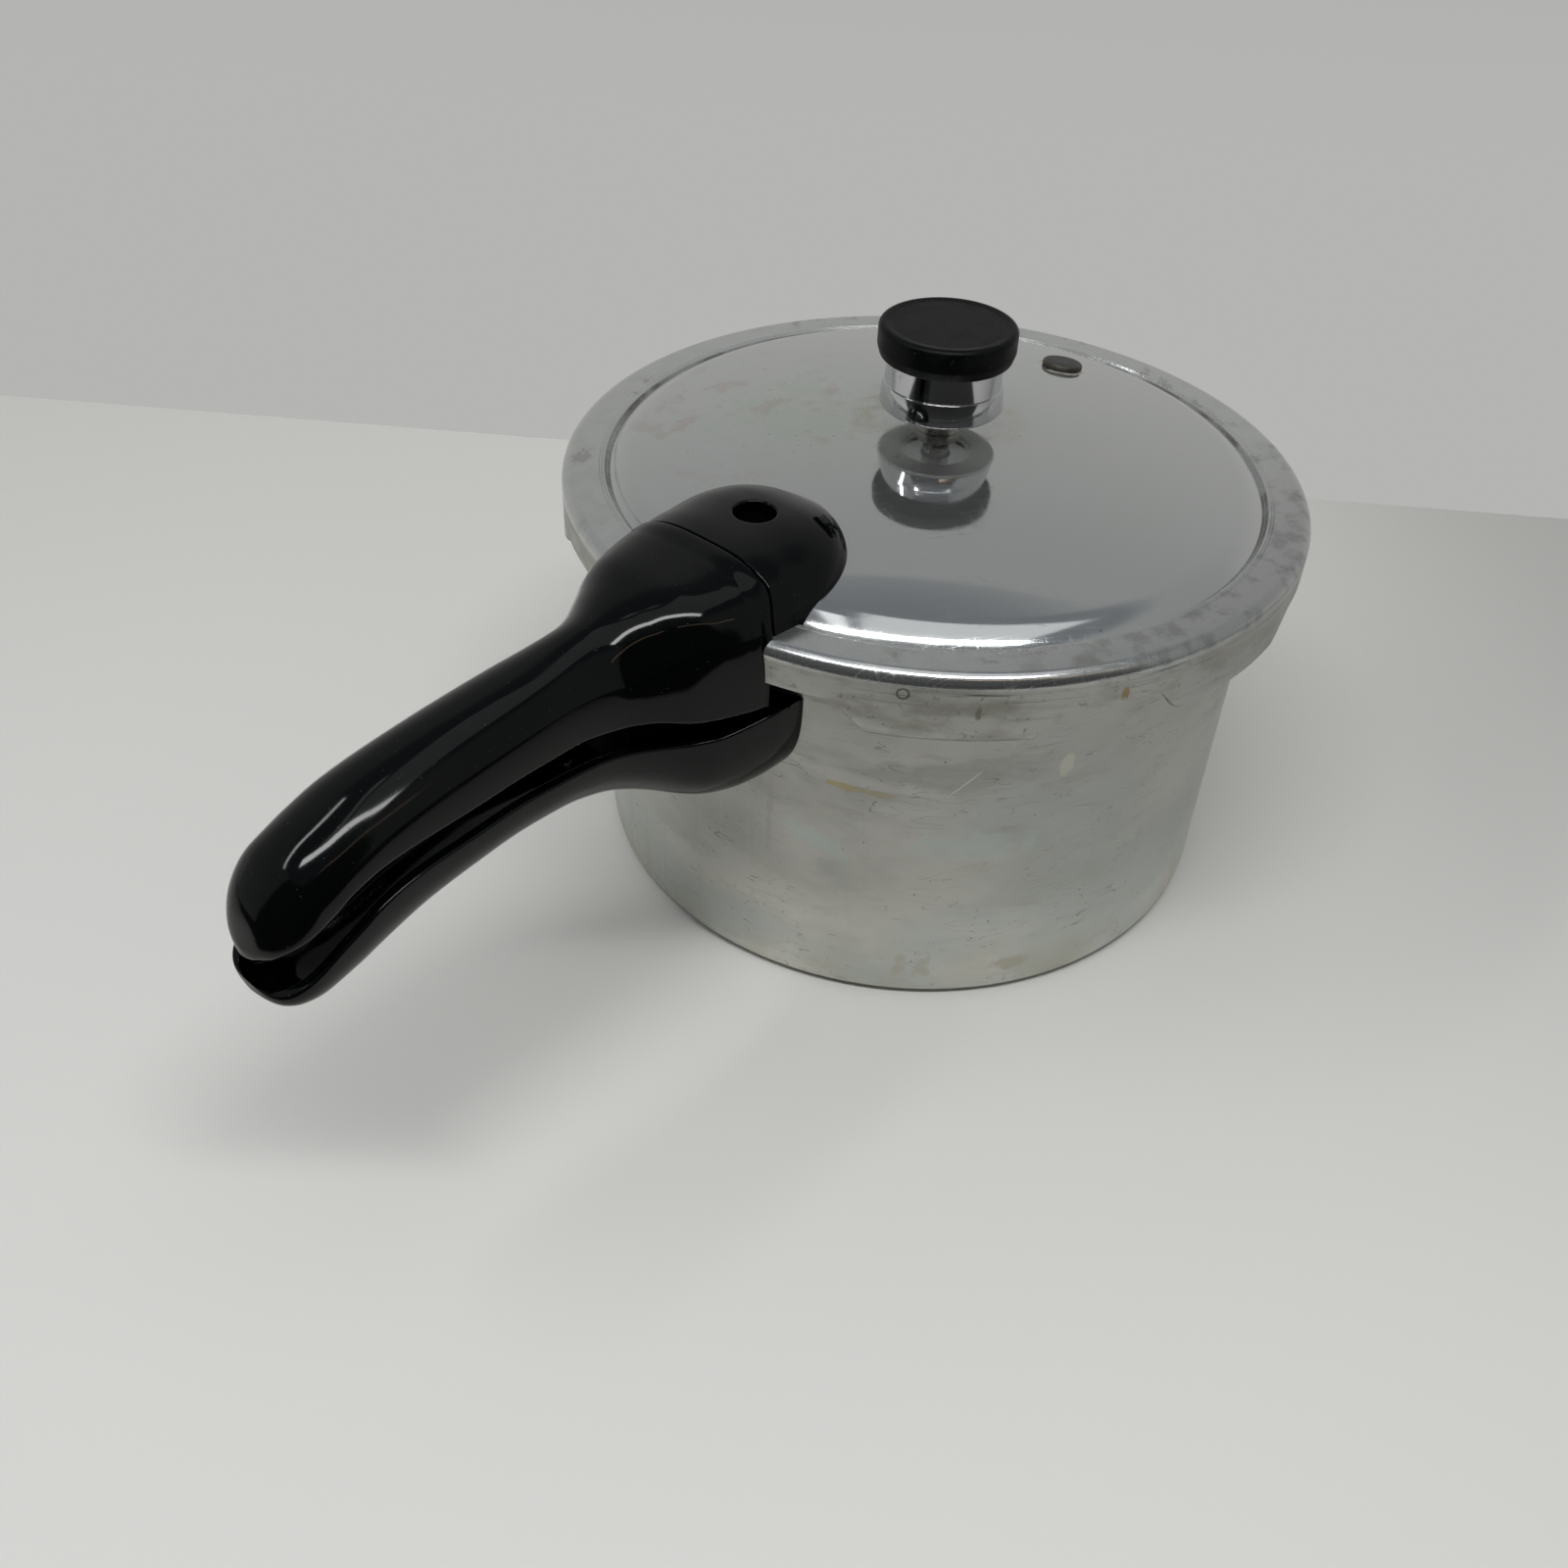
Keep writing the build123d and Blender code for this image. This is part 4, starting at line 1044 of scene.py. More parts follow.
POT_METAL = SatinPot("satin_pot_aluminium", "pot_aluminium", marks=POT_MARKS)
COVER_METAL = PolishedCover("polished_cover_aluminium", "cover_aluminium")
RACK_METAL = SatinPot("satin_rack_aluminium", "rack_aluminium", brushed=900.0, heat=1.0, drip_turn=1.0)
HANDLE_BLACK = GlossPhenolic("gloss_black_handle", "handle_phenolic")
CAP_BLACK = MattePhenolic("matte_black_cap", "cap_phenolic")
WEIGHT_CHROME = BrightChrome("pitted_chrome", "weight_chrome")
SEAL_RUBBER = Rubber("black_seal_rubber", "seal_rubber")
PLUG_RUBBER = Rubber(
    "black_plug_rubber", "plug_rubber", ring_place=COVER_METAL.plug_place, ring_radius=6.0
)
# Near-black steel: tarnish, plus painted shade for the dark gap between the handles.
DARK_STEEL_AND_GAP_SHADE = WornSteel(
    "dark_bracket_steel_and_gap_shade",
    "bracket_steel",
    tone=(0.03, 0.03, 0.029),
    tarnish=(0.02, 0.018, 0.016),
    grain=Grain.ROLLED,
)
INSIDE_STEEL = WornSteel("inside_bracket_steel", "bracket_steel", grain=Grain.ROLLED)
FASTENER_STEEL = WornSteel("fastener_steel", "fastener_steel", tone=(0.58, 0.58, 0.56), grain=Grain.STRUCK)
VENT_STEEL = WornSteel("turned_vent_steel", "vent_steel", tone=(0.55, 0.54, 0.50))
PIN_STEEL = WornSteel("tarnished_pin_steel", "pin_steel", tone=(0.30, 0.29, 0.26), tarnished=0.9)


# Pieces


def make_piece(
    name: str,
    patches: Sequence[Patch],
    finish: Finish,
    body: str,
    node: str,
    crease: float = 38.0,
) -> None:
    """Join patches into one closed mesh, dress it and let it ride on its body.

    Args:
        name: Name of the piece.
        patches: Surfaces in millimetres, whose shared edges are merged.
        finish: Look of the piece.
        body: Body of the frame that carries it.
        node: Node of the frame that it stands for.
        crease: Angle between faces, in degrees, above which an edge stays sharp.
    """
    starts = np.cumsum([0] + [patch.points.shape[0] * patch.points.shape[1] for patch in patches])
    points = np.concatenate([patch.points.reshape(-1, 3) for patch in patches]) * MILLIMETRE
    faces = np.concatenate([patch.faces(start) for patch, start in zip(patches, starts)])
    mesh = bpy.data.meshes.new(name)
    mesh.vertices.add(len(points))
    mesh.vertices.foreach_set("co", points.astype(np.float32).ravel())
    mesh.loops.add(faces.size)
    mesh.loops.foreach_set("vertex_index", faces.astype(np.int32).ravel())
    mesh.polygons.add(len(faces))
    mesh.polygons.foreach_set("loop_start", np.arange(0, faces.size, faces.shape[1], dtype=np.int32))
    mesh.update(calc_edges=True)
    work = bmesh.new()
    work.from_mesh(mesh)
    bmesh.ops.remove_doubles(work, verts=work.verts, dist=0.002 * MILLIMETRE)
    bmesh.ops.dissolve_degenerate(work, edges=work.edges, dist=0.001 * MILLIMETRE)
    loose = [vertex for vertex in work.verts if not vertex.link_faces]
    bmesh.ops.delete(work, geom=loose, context="VERTS")
    bmesh.ops.recalc_face_normals(work, faces=work.faces)
    work.to_mesh(mesh)
    work.free()
    mesh.polygons.foreach_set("use_smooth", np.ones(len(mesh.polygons), bool))
    mesh.set_sharp_from_angle(angle=math.radians(crease))
    mesh.materials.append(finish.material())
    piece = bpy.data.objects.new(name, mesh)
    bpy.context.scene.collection.objects.link(piece)
    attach(piece, body)
    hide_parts(node)
    LOG.info("%s: %d faces", name, len(mesh.polygons))


@dataclass
class Bayonet:
    """Eight evenly spaced lugs, and columns that are close together at their edges.

    Attributes:
        turn: Angle of the first lug's middle, in degrees.
        lug_half_angle: Half of a lug's width, in degrees.
        tab_half_angle: Half of a tab's width at its foot, in degrees.
        slope_half_angle: Half angle at which a tab's slanted side reaches the skirt, in degrees.
        edge: Half of the width over which a lug's end rises, in degrees.
    """

    count: int = 8
    turn: float = -4.9
    lug_half_angle: float = 10.5
    tab_half_angle: float = 11.0
    slope_half_angle: float = 16.0
    edge: float = 0.3

    def angles(self) -> Array:
        """Lay out the columns: few across a lug, many where its end and its tab's side rise.

        Returns:
            Angles in radians.
        """
        runs = (
            (0.0, self.lug_half_angle - 0.5, 8),
            (self.lug_half_angle - 0.25, self.tab_half_angle + 0.5, 8),
            (self.tab_half_angle + 1.0, self.slope_half_angle + 0.6, 9),
            (self.slope_half_angle + 1.5, 180 / self.count, 5),
        )
        half = np.concatenate([np.linspace(*run) for run in runs])
        sector = np.concatenate([-half[::-1], half[1:-1]])
        starts = self.turn + np.arange(self.count)[:, None] * 360 / self.count
        return np.radians((starts + sector).ravel())

    def offset(self, angles: Array) -> Array:
        """Degrees from each angle to the middle of its nearest lug."""
        pitch = 360 / self.count
        return np.abs((np.degrees(angles) - self.turn + pitch / 2) % pitch - pitch / 2)

    def lug(self, angles: Array) -> Array:
        """1 across a lug and 0 between lugs, with steep ends."""
        inside = self.lug_half_angle + self.edge - self.offset(angles)
        return np.clip(inside / (2 * self.edge), 0.0, 1.0)

    def tab(self, angles: Array) -> Array:
        """Follow a tab's outline: the mean of a straight slope and a smooth step.

        Args:
            angles: Angles in radians.

        Returns:
            1 across a tab's foot, falling to 0 along its slanted sides.
        """
        width = self.slope_half_angle - self.tab_half_angle
        share = np.clip((self.slope_half_angle - self.offset(angles)) / width, 0.0, 1.0)
        return 0.5 * share + 0.5 * smooth_step(share, 0.0, 1.0)


@dataclass
class Cover:
    """Domed cover: crown, scored ring, flat shoulder with two fine lines, skirt and hooked tabs.

    Attributes:
        edge_radius: Distance from the axis at which the dome starts to roll down to the groove.
        line_radii: Radii of the two fine lines on the shoulder.
        skirt_foot: Height of the skirt's foot between the tabs.
        lip_foot: Height of the tabs' feet.
        lip_radius: Distance from the axis to the hooked lips' inner ends.
        tab_round: Extra easing of the tabs' outer feet.
        lip_land: Height of the wall's first row above a lip.
        lining_drop: Depth of the lining's first row below the ceiling.
        lining_inset: Distance from the dome's edge to the lining's first row under the dome.
    """

    crown: float = 140.5
    dome_radius: float = 480.3
    edge_radius: float = 91.0
    groove_radius: float = 99.3
    groove_floor: float = 127.4
    groove_flat: float = 0.15
    groove_width: float = 0.9
    groove_round: float = 0.3
    line_radii: Place = (100.9, 101.7)
    line_depth: float = 0.15
    shoulder: float = 128.5
    shoulder_round: float = 3.5
    radius: float = 113.0
    wall: float = 2.2
    skirt_top: float = 122.9
    skirt_foot: float = 116.5
    lip_foot: float = 107.2
    lip_radius: float = 104.6
    lip_thickness: float = 2.4
    edge_round: float = 0.5
    tab_round: float = 2.5
    lip_land: float = 1.0
    lining_drop: float = 2.0
    lining_inset: float = 0.5

    def dome(self, radius: Array) -> Array:
        """Height of the dome: a sphere's cap."""
        return self.crown - self.dome_radius + np.sqrt(self.dome_radius**2 - radius**2)

    def top_profile(self) -> Array:
        """Outline the outside from the crown to the skirt: dome, rolled edge, scored ring and shoulder.

        Returns:
            Points by radius and height.
        """
        dome_radii = np.linspace(0.0, self.edge_radius, 60)
        dome = np.stack([dome_radii, self.dome(dome_radii)], axis=1)
        slope = self.edge_radius / self.dome_radius
        heading = np.array([math.sqrt(1 - slope**2), -slope])
        edge = tangent_arc(dome[-1], heading, np.array([self.groove_radius, self.groove_floor]), 28)
        corners = [
            (self.groove_radius, self.groove_floor, 0.0),
            (self.groove_radius + self.groove_flat, self.groove_floor, 0.0),
            (self.groove_radius + self.groove_width, self.shoulder, self.groove_round),
        ]
        for line in self.line_radii:
            corners.append((line - self.line_depth, self.shoulder, 0.0))
            corners.append((line, self.shoulder - self.line_depth, 0.0))
            corners.append((line + self.line_depth, self.shoulder, 0.0))
        corners.append((self.radius, self.shoulder, self.shoulder_round))
        corners.append((self.radius, self.skirt_top, 0.0))
        return np.concatenate([dome, edge[1:], rounded(corners, 14)[1:]])

    def outer_height(self, radius: Array) -> Array:
        """Height of the outside at each distance from the axis, up to the skirt."""
        profile = self.top_profile()
        return np.interp(radius, profile[:, 0], profile[:, 1])

    def bed(self, along: Array, across: Array) -> Array:
        """Height of the middle of the wall under a point of the plan."""
        return self.outer_height(np.hypot(along, across)) - self.wall / 2

    def lining(self) -> Array:
        """Outline the inside, from the top of the skirt's wall to under the crown.

        Returns:
            Points by radius and height.
        """
        inner = self.radius - self.wall
        ceiling = self.shoulder - self.wall
        shoulder = [[inner, ceiling - self.lining_drop], [inner, ceiling]]
        shoulder.append([self.groove_radius - self.wall, ceiling])
        radii = np.linspace(self.edge_radius - self.lining_inset, 0.0, 40)
        return np.concatenate([shoulder, np.stack([radii, self.dome(radii) - self.wall], axis=1)])

    def build(self) -> None:
        """Turn the profile, and hang the tabs, rounded at their outer feet, below the skirt."""
        bayonet = Bayonet()
        angles = bayonet.angles()
        tab = bayonet.tab(angles)
        foot = self.skirt_foot - (self.skirt_foot - self.lip_foot) * tab
        inner = self.radius - self.wall
        reach = inner - (inner - self.lip_radius) * bayonet.lug(angles)
        ease = self.edge_round
        toe_ease = ease + self.tab_round * tab
        fall = np.linspace(0.0, 1.0, 8)[1:, None]
        skirt = (fall * 0 + self.radius, self.skirt_top + (foot + toe_ease - self.skirt_top) * fall)
        curl = quarter_turn(6)[:, None]
        toe = (self.radius - toe_ease * (1 - np.cos(curl)), foot + toe_ease * (1 - np.sin(curl)))
        sole = (np.minimum(reach + ease, toe[0][-1])[None], foot[None])
        lip_top = foot + self.lip_thickness
        level = np.full_like(angles, inner)
        hook_radius = np.stack([reach, reach, reach + ease, level, level])
        hook_height = np.stack([foot + ease, lip_top - ease, lip_top, lip_top, lip_top + self.lip_land])
        bands = [all_round(self.top_profile()), skirt, toe, sole, (hook_radius, hook_height)]
        shell = turned([*bands, all_round(self.lining())], angles)
        make_piece("cover_shell", [shell], COVER_METAL, "cover", "cover")


@dataclass
class Pot:
    """Pressed pot: flat base, creased heel, straight wall, rim bead and lugs.

    Attributes:
        base_radius: Radius at which the base starts to rise to the heel.
        wall_foot: Height at which the straight wall starts.
        lug_rises: Heights of the lugs' rows above their feet.
        lug_push: Share of the lugs' reach in each of those rows.
        bead_start: First and last of those rows between which the wall widens to the rim bead.
    """

    radius: float = 101.5
    wall: float = 2.5
    floor: float = 3.2
    floor_round: float = 4.0
    height: float = 120.5
    base_radius: float = 92.0
    base_round: float = 8.0
    heel_radius: float = 100.8
    heel_height: float = 1.9
    heel_round: float = 0.7
    crease_radius: float = 101.4
    crease_height: float = 4.3
    crease_round: float = 0.3
    wall_foot: float = 5.5
    wall_round: float = 1.5
    rim_radius: float = 104.0
    rim_round: float = 1.2
    lug_radius: float = 110.0
    lug_foot: float = 110.4
    lug_rises: Knots = (0.0, 0.4, 1.6, 4.1, 5.6, 6.0)
    lug_push: Knots = (0.94, 1.0, 1.0, 1.0, 1.0, 0.94)
    bead_start: tuple[int, int] = (2, 3)

    def build(self) -> None:
        """Turn the profile, pushing it out to the lugs."""
        bayonet = Bayonet()
        angles = bayonet.angles()
        inner = self.radius - self.wall
        below = [
            (0.0, 0.0, 0.0),
            (self.base_radius, 0.0, self.base_round),
            (self.heel_radius, self.heel_height, self.heel_round),
            (self.crease_radius, self.crease_height, self.crease_round),
            (self.radius, self.wall_foot, self.wall_round),
            (self.radius, self.lug_foot, 0.0),
        ]
        heights = np.array(self.lug_rises)[:, None] + self.lug_foot
        plain = np.interp(heights, heights[self.bead_start, 0], [self.radius, self.rim_radius])
        reach = (self.lug_radius - plain) * (bayonet.lug(angles) * np.array(self.lug_push)[:, None])
        above = [
            (self.rim_radius, heights[-1, 0], 0.0),
            (self.rim_radius, self.height, self.rim_round),
            (inner, self.height, self.rim_round),
            (inner, self.floor, self.floor_round),
            (0.0, self.floor, 0.0),
        ]
        lugs = (plain + reach, heights)
        shell = turned([all_round(rounded(below, 10)), lugs, all_round(rounded(above, 8))], angles)
        make_piece("pot_shell", [shell], POT_METAL, "pot", "pot_body")


@dataclass
class Regulator:
    """Chromed weight of two bands, and a moulded cap with a dished top.

    Attributes:
        bore: Radius of the hole for the vent pipe.
        bevel: Width and height of the foot's outer bevel.
        band: Height of the step between the two bands.
        draft: How far the foot's and the neck's outlines stand inside their radii.
        cap_lift: Gap between the weight and the cap.
        cap_waist: Height above the weight at which the cap is widest.
        dish_slope: Width of the slope down into the dish.
    """

    foot: float = 148.0
    top: float = 163.0
    foot_radius: float = 18.6
    neck_radius: float = 16.9
    bore: float = 4.6
    bore_depth: float = 9.3
    recess_radius: float = 11.0
    recess: float = 2.0
    bevel: float = 0.7
    band: float = 155.2
    band_step: float = 0.4
    step_rise: float = 0.15
    draft: float = 0.1
    cap_lift: float = 0.02
    cap_foot_radius: float = 19.4
    cap_radius: float = 20.3
    cap_waist: float = 3.0
    cap_rim_radius: float = 18.4
    cap_top: float = 172.5
    dish: float = 0.25
    dish_slope: float = 1.8
    columns: int = 192

    def build(self) -> None:
        """Turn the weight and the cap."""
        share = (self.band - self.foot) / (self.top - self.foot)
        band_radius = self.foot_radius - (self.foot_radius - self.neck_radius) * share
        ceiling = self.foot + self.recess
        weight = [
            (0.0, self.foot + self.bore_depth, 0.0),
            (self.bore, self.foot + self.bore_depth, 0.0),
            (self.bore, ceiling, 0.3),
            (self.recess_radius, ceiling, 0.3),
            (self.recess_radius, self.foot, 0.4),
            (self.foot_radius - self.bevel, self.foot, 0.2),
            (self.foot_radius - self.draft, self.foot + self.bevel, 0.3),
            (band_radius, self.band, 0.25),
            (band_radius - self.band_step, self.band + self.step_rise, 0.1),
            (self.neck_radius - self.draft, self.top, 0.0),
            (0.0, self.top, 0.0),
        ]
        turning = [lathe(rounded(weight), self.columns)]
        make_piece("weight_turned", turning, WEIGHT_CHROME, "regulator", "regulator_weight")
        cap_foot = self.top + self.cap_lift
        dish_floor = self.cap_top - self.dish
        cap = [
            (0.0, cap_foot, 0.0),
            (self.cap_foot_radius, cap_foot, 1.0),
            (self.cap_radius, self.top + self.cap_waist, 2.5),
            (self.cap_radius, self.cap_top, 1.7),
            (self.cap_rim_radius, self.cap_top, 1.2),
            (self.cap_rim_radius - self.dish_slope, dish_floor, 2.5),
            (0.0, dish_floor, 0.0),
        ]
        moulding = [lathe(rounded(cap, 12), self.columns)]
        make_piece("cap_moulded", moulding, CAP_BLACK, "regulator", "regulator_cap")


@dataclass
class Plug:
    """Rubber button in the dome, on the far side from the handle.

    Attributes:
        bedding: Gap between the rubber and both faces of the cover's wall.
        crown_share: Share of the head's radius at which its side meets the nearly flat crown.
        crown_drop: How far the head's side stops below the crown.
    """

    place_radius: float = 74.0
    azimuth: float = 182.7
    bedding: float = 0.1
    head_radius: float = 6.6
    head_height: float = 2.0
    crown_share: float = 0.55
    crown_drop: float = 0.3
    neck_radius: float = 4.5
    tail_radius: float = 6.0
    tail_height: float = 2.6
    columns: int = 128

    def seated(self, patch: Patch, cover: Cover) -> Patch:
        """Move a patch from its own axis to the plug's place, with its axis along the dome's normal.

        Args:
            patch: Surface turned about the upright axis.
            cover: Cover that the plug sits in.

        Returns:
            Patch in its place.
        """
        turn = math.radians(self.azimuth)
        outward = np.array([math.cos(turn), math.sin(turn)])
        tilt = self.place_radius / cover.dome_radius
        normal = Vector((*(tilt * outward), math.sqrt(1 - tilt**2)))
        rotation = np.array(Vector((0, 0, 1)).rotation_difference(normal).to_matrix())
        place = np.array([*(self.place_radius * outward), cover.dome(np.array(self.place_radius))])
        return Patch(patch.points @ rotation.T + place, patch.round_columns)

    def build(self, cover: Cover) -> None:
        """Turn the button about the dome's normal.

        Args:
            cover: Cover that the plug sits in.
        """
        under = -cover.wall - self.bedding
        tail = under - self.tail_height
        top = self.bedding + self.head_height
        corners = [
            (0.0, tail, 0.0),
            (self.tail_radius, tail, 0.8),
            (self.tail_radius, under, 0.3),
            (self.neck_radius, under, 0.0),
            (self.neck_radius, self.bedding, 0.0),
            (self.head_radius, self.bedding, 0.3),
            (self.head_radius, top - self.crown_drop, 0.9),
            (self.head_radius * self.crown_share, top, 4.0),
            (0.0, top, 0.0),
        ]
        patch = self.seated(lathe(rounded(corners, 8), self.columns), cover)
        make_piece("plug_button", [patch], PLUG_RUBBER, "cover", "overpressure_plug")


@dataclass(frozen=True)
class Boss:
    """Round post for a screw inside a handle, with its place along it, its heights and its edges' radii."""

    along: float
    radius: float
    foot: float
    top: float
    foot_ease: float = 0.0
    top_ease: float = 0.0

    def patch(self) -> Patch:
        """Turn the post about its own axis.

        Returns:
            Closed surface of the post.
        """
        corners = [
            (0.0, self.foot, 0.0),
            (self.radius, self.foot, self.foot_ease),
            (self.radius, self.top, self.top_ease),
            (0.0, self.top, 0.0),
        ]
        return lathe(rounded(corners), 48, (self.along, 0.0))


@dataclass
class Handle:
    """What both halves of the handle share: curves along it, a rounded tip, a hole and a screw's boss.

    Attributes:
        width: Half width along the handle, before the tip is rounded.
        fullness: Power of the section's superellipse along the handle.
        tip_fullness: Power of the tip's rounding: 2 is an ellipse, more is squarer.
        ease_room: Largest radius of a side's edge, as shares of the half width and of the height.
        half_columns: Columns on each half of a section, the middle one included.
        crowding: How close together they are at the sides and the middle.
        tip_start: Distance from the axis at which the grip's end starts to round off.
    """

    hole: Bore
    boss: Boss
    width: Curve
    fullness: Curve
    tip_fullness: float
    ease_room: Place
    half_columns: int
    crowding: float
    tip_start: float = 235.0
    tip_length: float = 13.5
    tip_rows: int = 34
    crease: float = 30.0

    def tip(self) -> Array:
        """Places of the tip's sections, which crowd towards its end as the sines of even angles do."""
        return self.tip_start + self.tip_length * np.sin(np.linspace(0, math.pi / 2, self.tip_rows))

    def half_width(self, along: Array) -> Array:
        """Half width: a flowing curve that ends in half of a superellipse."""
        past = np.clip((along - self.tip_start) / self.tip_length, 0.0, 1.0)
        return self.width(along) * (1 - past**self.tip_fullness) ** (1 / self.tip_fullness)

    def edge_limit(self, along: Array, depth: Array) -> Array:
        """Largest radius that fits a side's edge, where a section is as deep as given."""
        return np.minimum(self.ease_room[0] * self.half_width(along), self.ease_room[1] * depth)

    def columns(self) -> tuple[Array, Array]:
        """Cosine and sine of each column's angle on a section."""
        turn = arch_angles(self.half_columns, self.crowding)
        return np.cos(turn), np.abs(np.sin(turn))

    def share(self, along: Array, across: Array) -> Array:
        """Share of a section's full rise at a point of the plan: 1 minus (|y| / W)^n, to the power 1 / n."""
        aside = np.clip(np.abs(across) / np.maximum(self.half_width(along), TINY), 0.0, 1.0)
        return (1 - aside ** self.fullness(along)) ** (1 / self.fullness(along))

    def joined(self, outside: Array, lip: Array, inside: Array) -> Array:
        """Columns of a closed shell: outside, one side's lip, inside, and the other side's lip."""
        mirror = np.array([1.0, -1.0, 1.0])
        return np.concatenate([outside, lip, inside[:, ::-1], lip[:, ::-1] * mirror], axis=1)

    def cut_out(self, shell: Array, rows: slice, spans: Sequence[tuple[int, int]]) -> Patch:
        """Leave a hole's blocks of faces out of a shell.

        Args:
            shell: Points of the closed shell.
            rows: Rows of points round the hole.
            spans: First and last columns of points round each block.

        Returns:
            Patch of the shell.
        """
        skip = np.zeros((shell.shape[0] - 1, shell.shape[1]), bool)
        for first, last in spans:
            skip[rows.start:rows.stop - 1, first:last] = True
        return Patch(shell, True, skip)


@dataclass
class UpperHandle(Handle):
    """Arched black shell: round nose over the dome, waisted neck, long grip and drooping tip.

    A pair of distances is where a form starts and ends.

    Attributes:
        crown: Height of the ridge.
        foot: Height of the lower edge.
        lip: Radius of the lower edge.
        nose_sweep: Angle of the nose's circle that has rows of its own, in degrees.
        seam: Distance from the axis of the seam behind the nose.
        seam_offsets: Distances of rows from the seam.
        seam_sweep: How far the seam runs out along the handle at its sides.
        sweep_spread: Distances from the middle line between which it starts to run out.
        sweep_reach: Distances from the seam between which its neighbours stop following it.
        seam_step: Height by which the body's edge stands above the nose at the seam.
        skirt_rows: Start, end and spacing of the close rows at the cover's skirt.
        hollow_flare: Share of the neck's extra width by which the hollow is wider.
        hollow_power: Power of the hollow's section: 1 is an ellipse, less is squarer.
    """

    hole: Bore = Bore(81.9, 5.9, 0.6, 9.0)
    boss: Boss = Boss(133.0, 6.5, 117.5, 136.0, foot_ease=0.4)
    width: Curve = Curve(
        (87, 108, 113, 118, 123, 127.5, 132, 136.5, 141, 146, 153, 160, 235),
        (29.7, 29.6, 28.4, 26.7, 24.9, 23.0, 20.4, 18.0, 16.2, 15.0, 14.3, 14.0, 14.0),
    )
    fullness: Curve = Curve(
        (57, 90, 108, 120, 132, 146, 170, 251),
        (3.48, 2.8, 3.26, 3.36, 2.63, 2.05, 2.33, 2.28),
    )
    tip_fullness: float = 2.0
    ease_room: Place = (0.6, 0.45)
    half_columns: int = 61
    crowding: float = 1.6
    crown: Curve = Curve(
        (
            57.3, 60, 66, 74, 82, 92, 103, 113, 122, 131, 140, 150, 162, 176, 190, 203, 215, 226, 236, 242,
            246, 248.6,
        ),
        (
            137.6, 139.3, 142.2, 143.9, 144.3, 144.3, 143.8, 142.9, 142.0, 140.1, 137.9, 136.6, 135.3, 134.3,
            133.2, 131.6, 129.3, 125.5, 121.2, 116.0, 110.5, 102.0,
        ),
    )
    foot: Curve = Curve(
        (
            57, 80, 95, 104, 109, 118, 127.5, 136.5, 146, 160, 176, 194, 206.7, 216.5, 226.4, 231.6, 236.6,
            240.7, 244, 246, 248.6,
        ),
        (
            124, 122, 118, 110, 108.2, 108.6, 109.7, 112, 113.8, 116, 116.2, 115.4, 115, 114.1, 111.3, 108.5,
            106.2, 104.0, 102.0, 100.6, 100.0,
        ),
    )
    lip: Curve = Curve((57, 110, 180, 235, 248.6), (0.6, 1.2, 1.2, 2.4, 3.2))
    nose_tip: float = 57.3
    nose_radius: float = 29.7
    nose_sweep: float = 58.0
    seam: float = 101.5
    seam_offsets: Knots = (0.07, 0.2, 0.35, 0.5, 0.65, 0.8, 1.0, 1.3, 1.8, 2.4)
    seam_sweep: float = 4.0
    sweep_spread: Place = (18.0, 29.0)
    sweep_reach: Place = (1.5, 9.0)
    seam_depth: float = 0.9
    seam_edge: Place = (0.2, 0.75)
    seam_step: float = 0.45
    step_rise: Place = (0.1, 0.6)
    step_fall: Place = (1.2, 7.0)
    skirt_rows: Point = (106.25, 113.1, 0.25)
    skin: float = 4.5
    hollow_half_width: float = 10.5
    hollow_flare: float = 0.35
    side_skin: float = 2.4
    hollow_start: Place = (110.5, 117.0)
    hollow_rise: Place = (117.0, 124.0)
    hollow_end: Place = (238.0, 244.5)
    hollow_power: float = 0.5

    def half_width(self, along: Array) -> Array:
        """Half width: a quarter circle at the nose, then the neck, the grip and the tip.

        Args:
            along: Distances from the axis.

        Returns:
            Half widths there.
        """
        centre = self.nose_tip + self.nose_radius
        inset = np.clip((centre - along) / self.nose_radius, 0.0, 1.0)
        nose = self.nose_radius * np.sqrt(1 - inset**2)
        return np.where(along < centre, nose, super().half_width(along))

    def edge_ease(self, along: Array) -> Array:
        """Radius of the lower edge, less where the section is small."""
        return np.minimum(self.lip(along), self.edge_limit(along, self.crown(along) - self.foot(along)))

    def top(self, along: Array, across: Array) -> Array:
        """Height of the outside over a point of the plan."""
        spring = self.foot(along) + self.edge_ease(along)
        return spring + (self.crown(along) - spring) * self.share(along, across)

    def rows(self) -> Array:
        """Lay out the sections, closer together at the nose, seam, skirt and tip.

        Returns:
            Distances of the sections from the axis.
        """
        sweep = np.linspace(0, math.radians(self.nose_sweep), 28)
        nose = self.nose_tip + self.nose_radius * (1 - np.cos(sweep))
        offsets = np.array(self.seam_offsets)
        seam = self.seam + np.concatenate([-offsets[::-1], offsets])
        skirt = np.arange(*self.skirt_rows)
        runs = [
            nose,
            np.linspace(nose[-1] + 0.9, seam[0] - 0.8, 28),
            seam,
            np.linspace(seam[-1] + 0.6, skirt[0] - self.skirt_rows[2], 4),
            skirt,
            np.linspace(skirt[-1] + 0.7, self.tip_start - 0.8, 118),
            self.tip(),
        ]
        return np.concatenate(runs)

    def seam_inset(self, past: Array) -> Array:
        """Depth of the surface below its plain form: the seam's groove, less the raised edge behind it."""
        raised = smooth_step(past, *self.step_rise) * (1 - smooth_step(past, *self.step_fall))
        return self.seam_depth * (1 - smooth_step(np.abs(past), *self.seam_edge)) - self.seam_step * raised

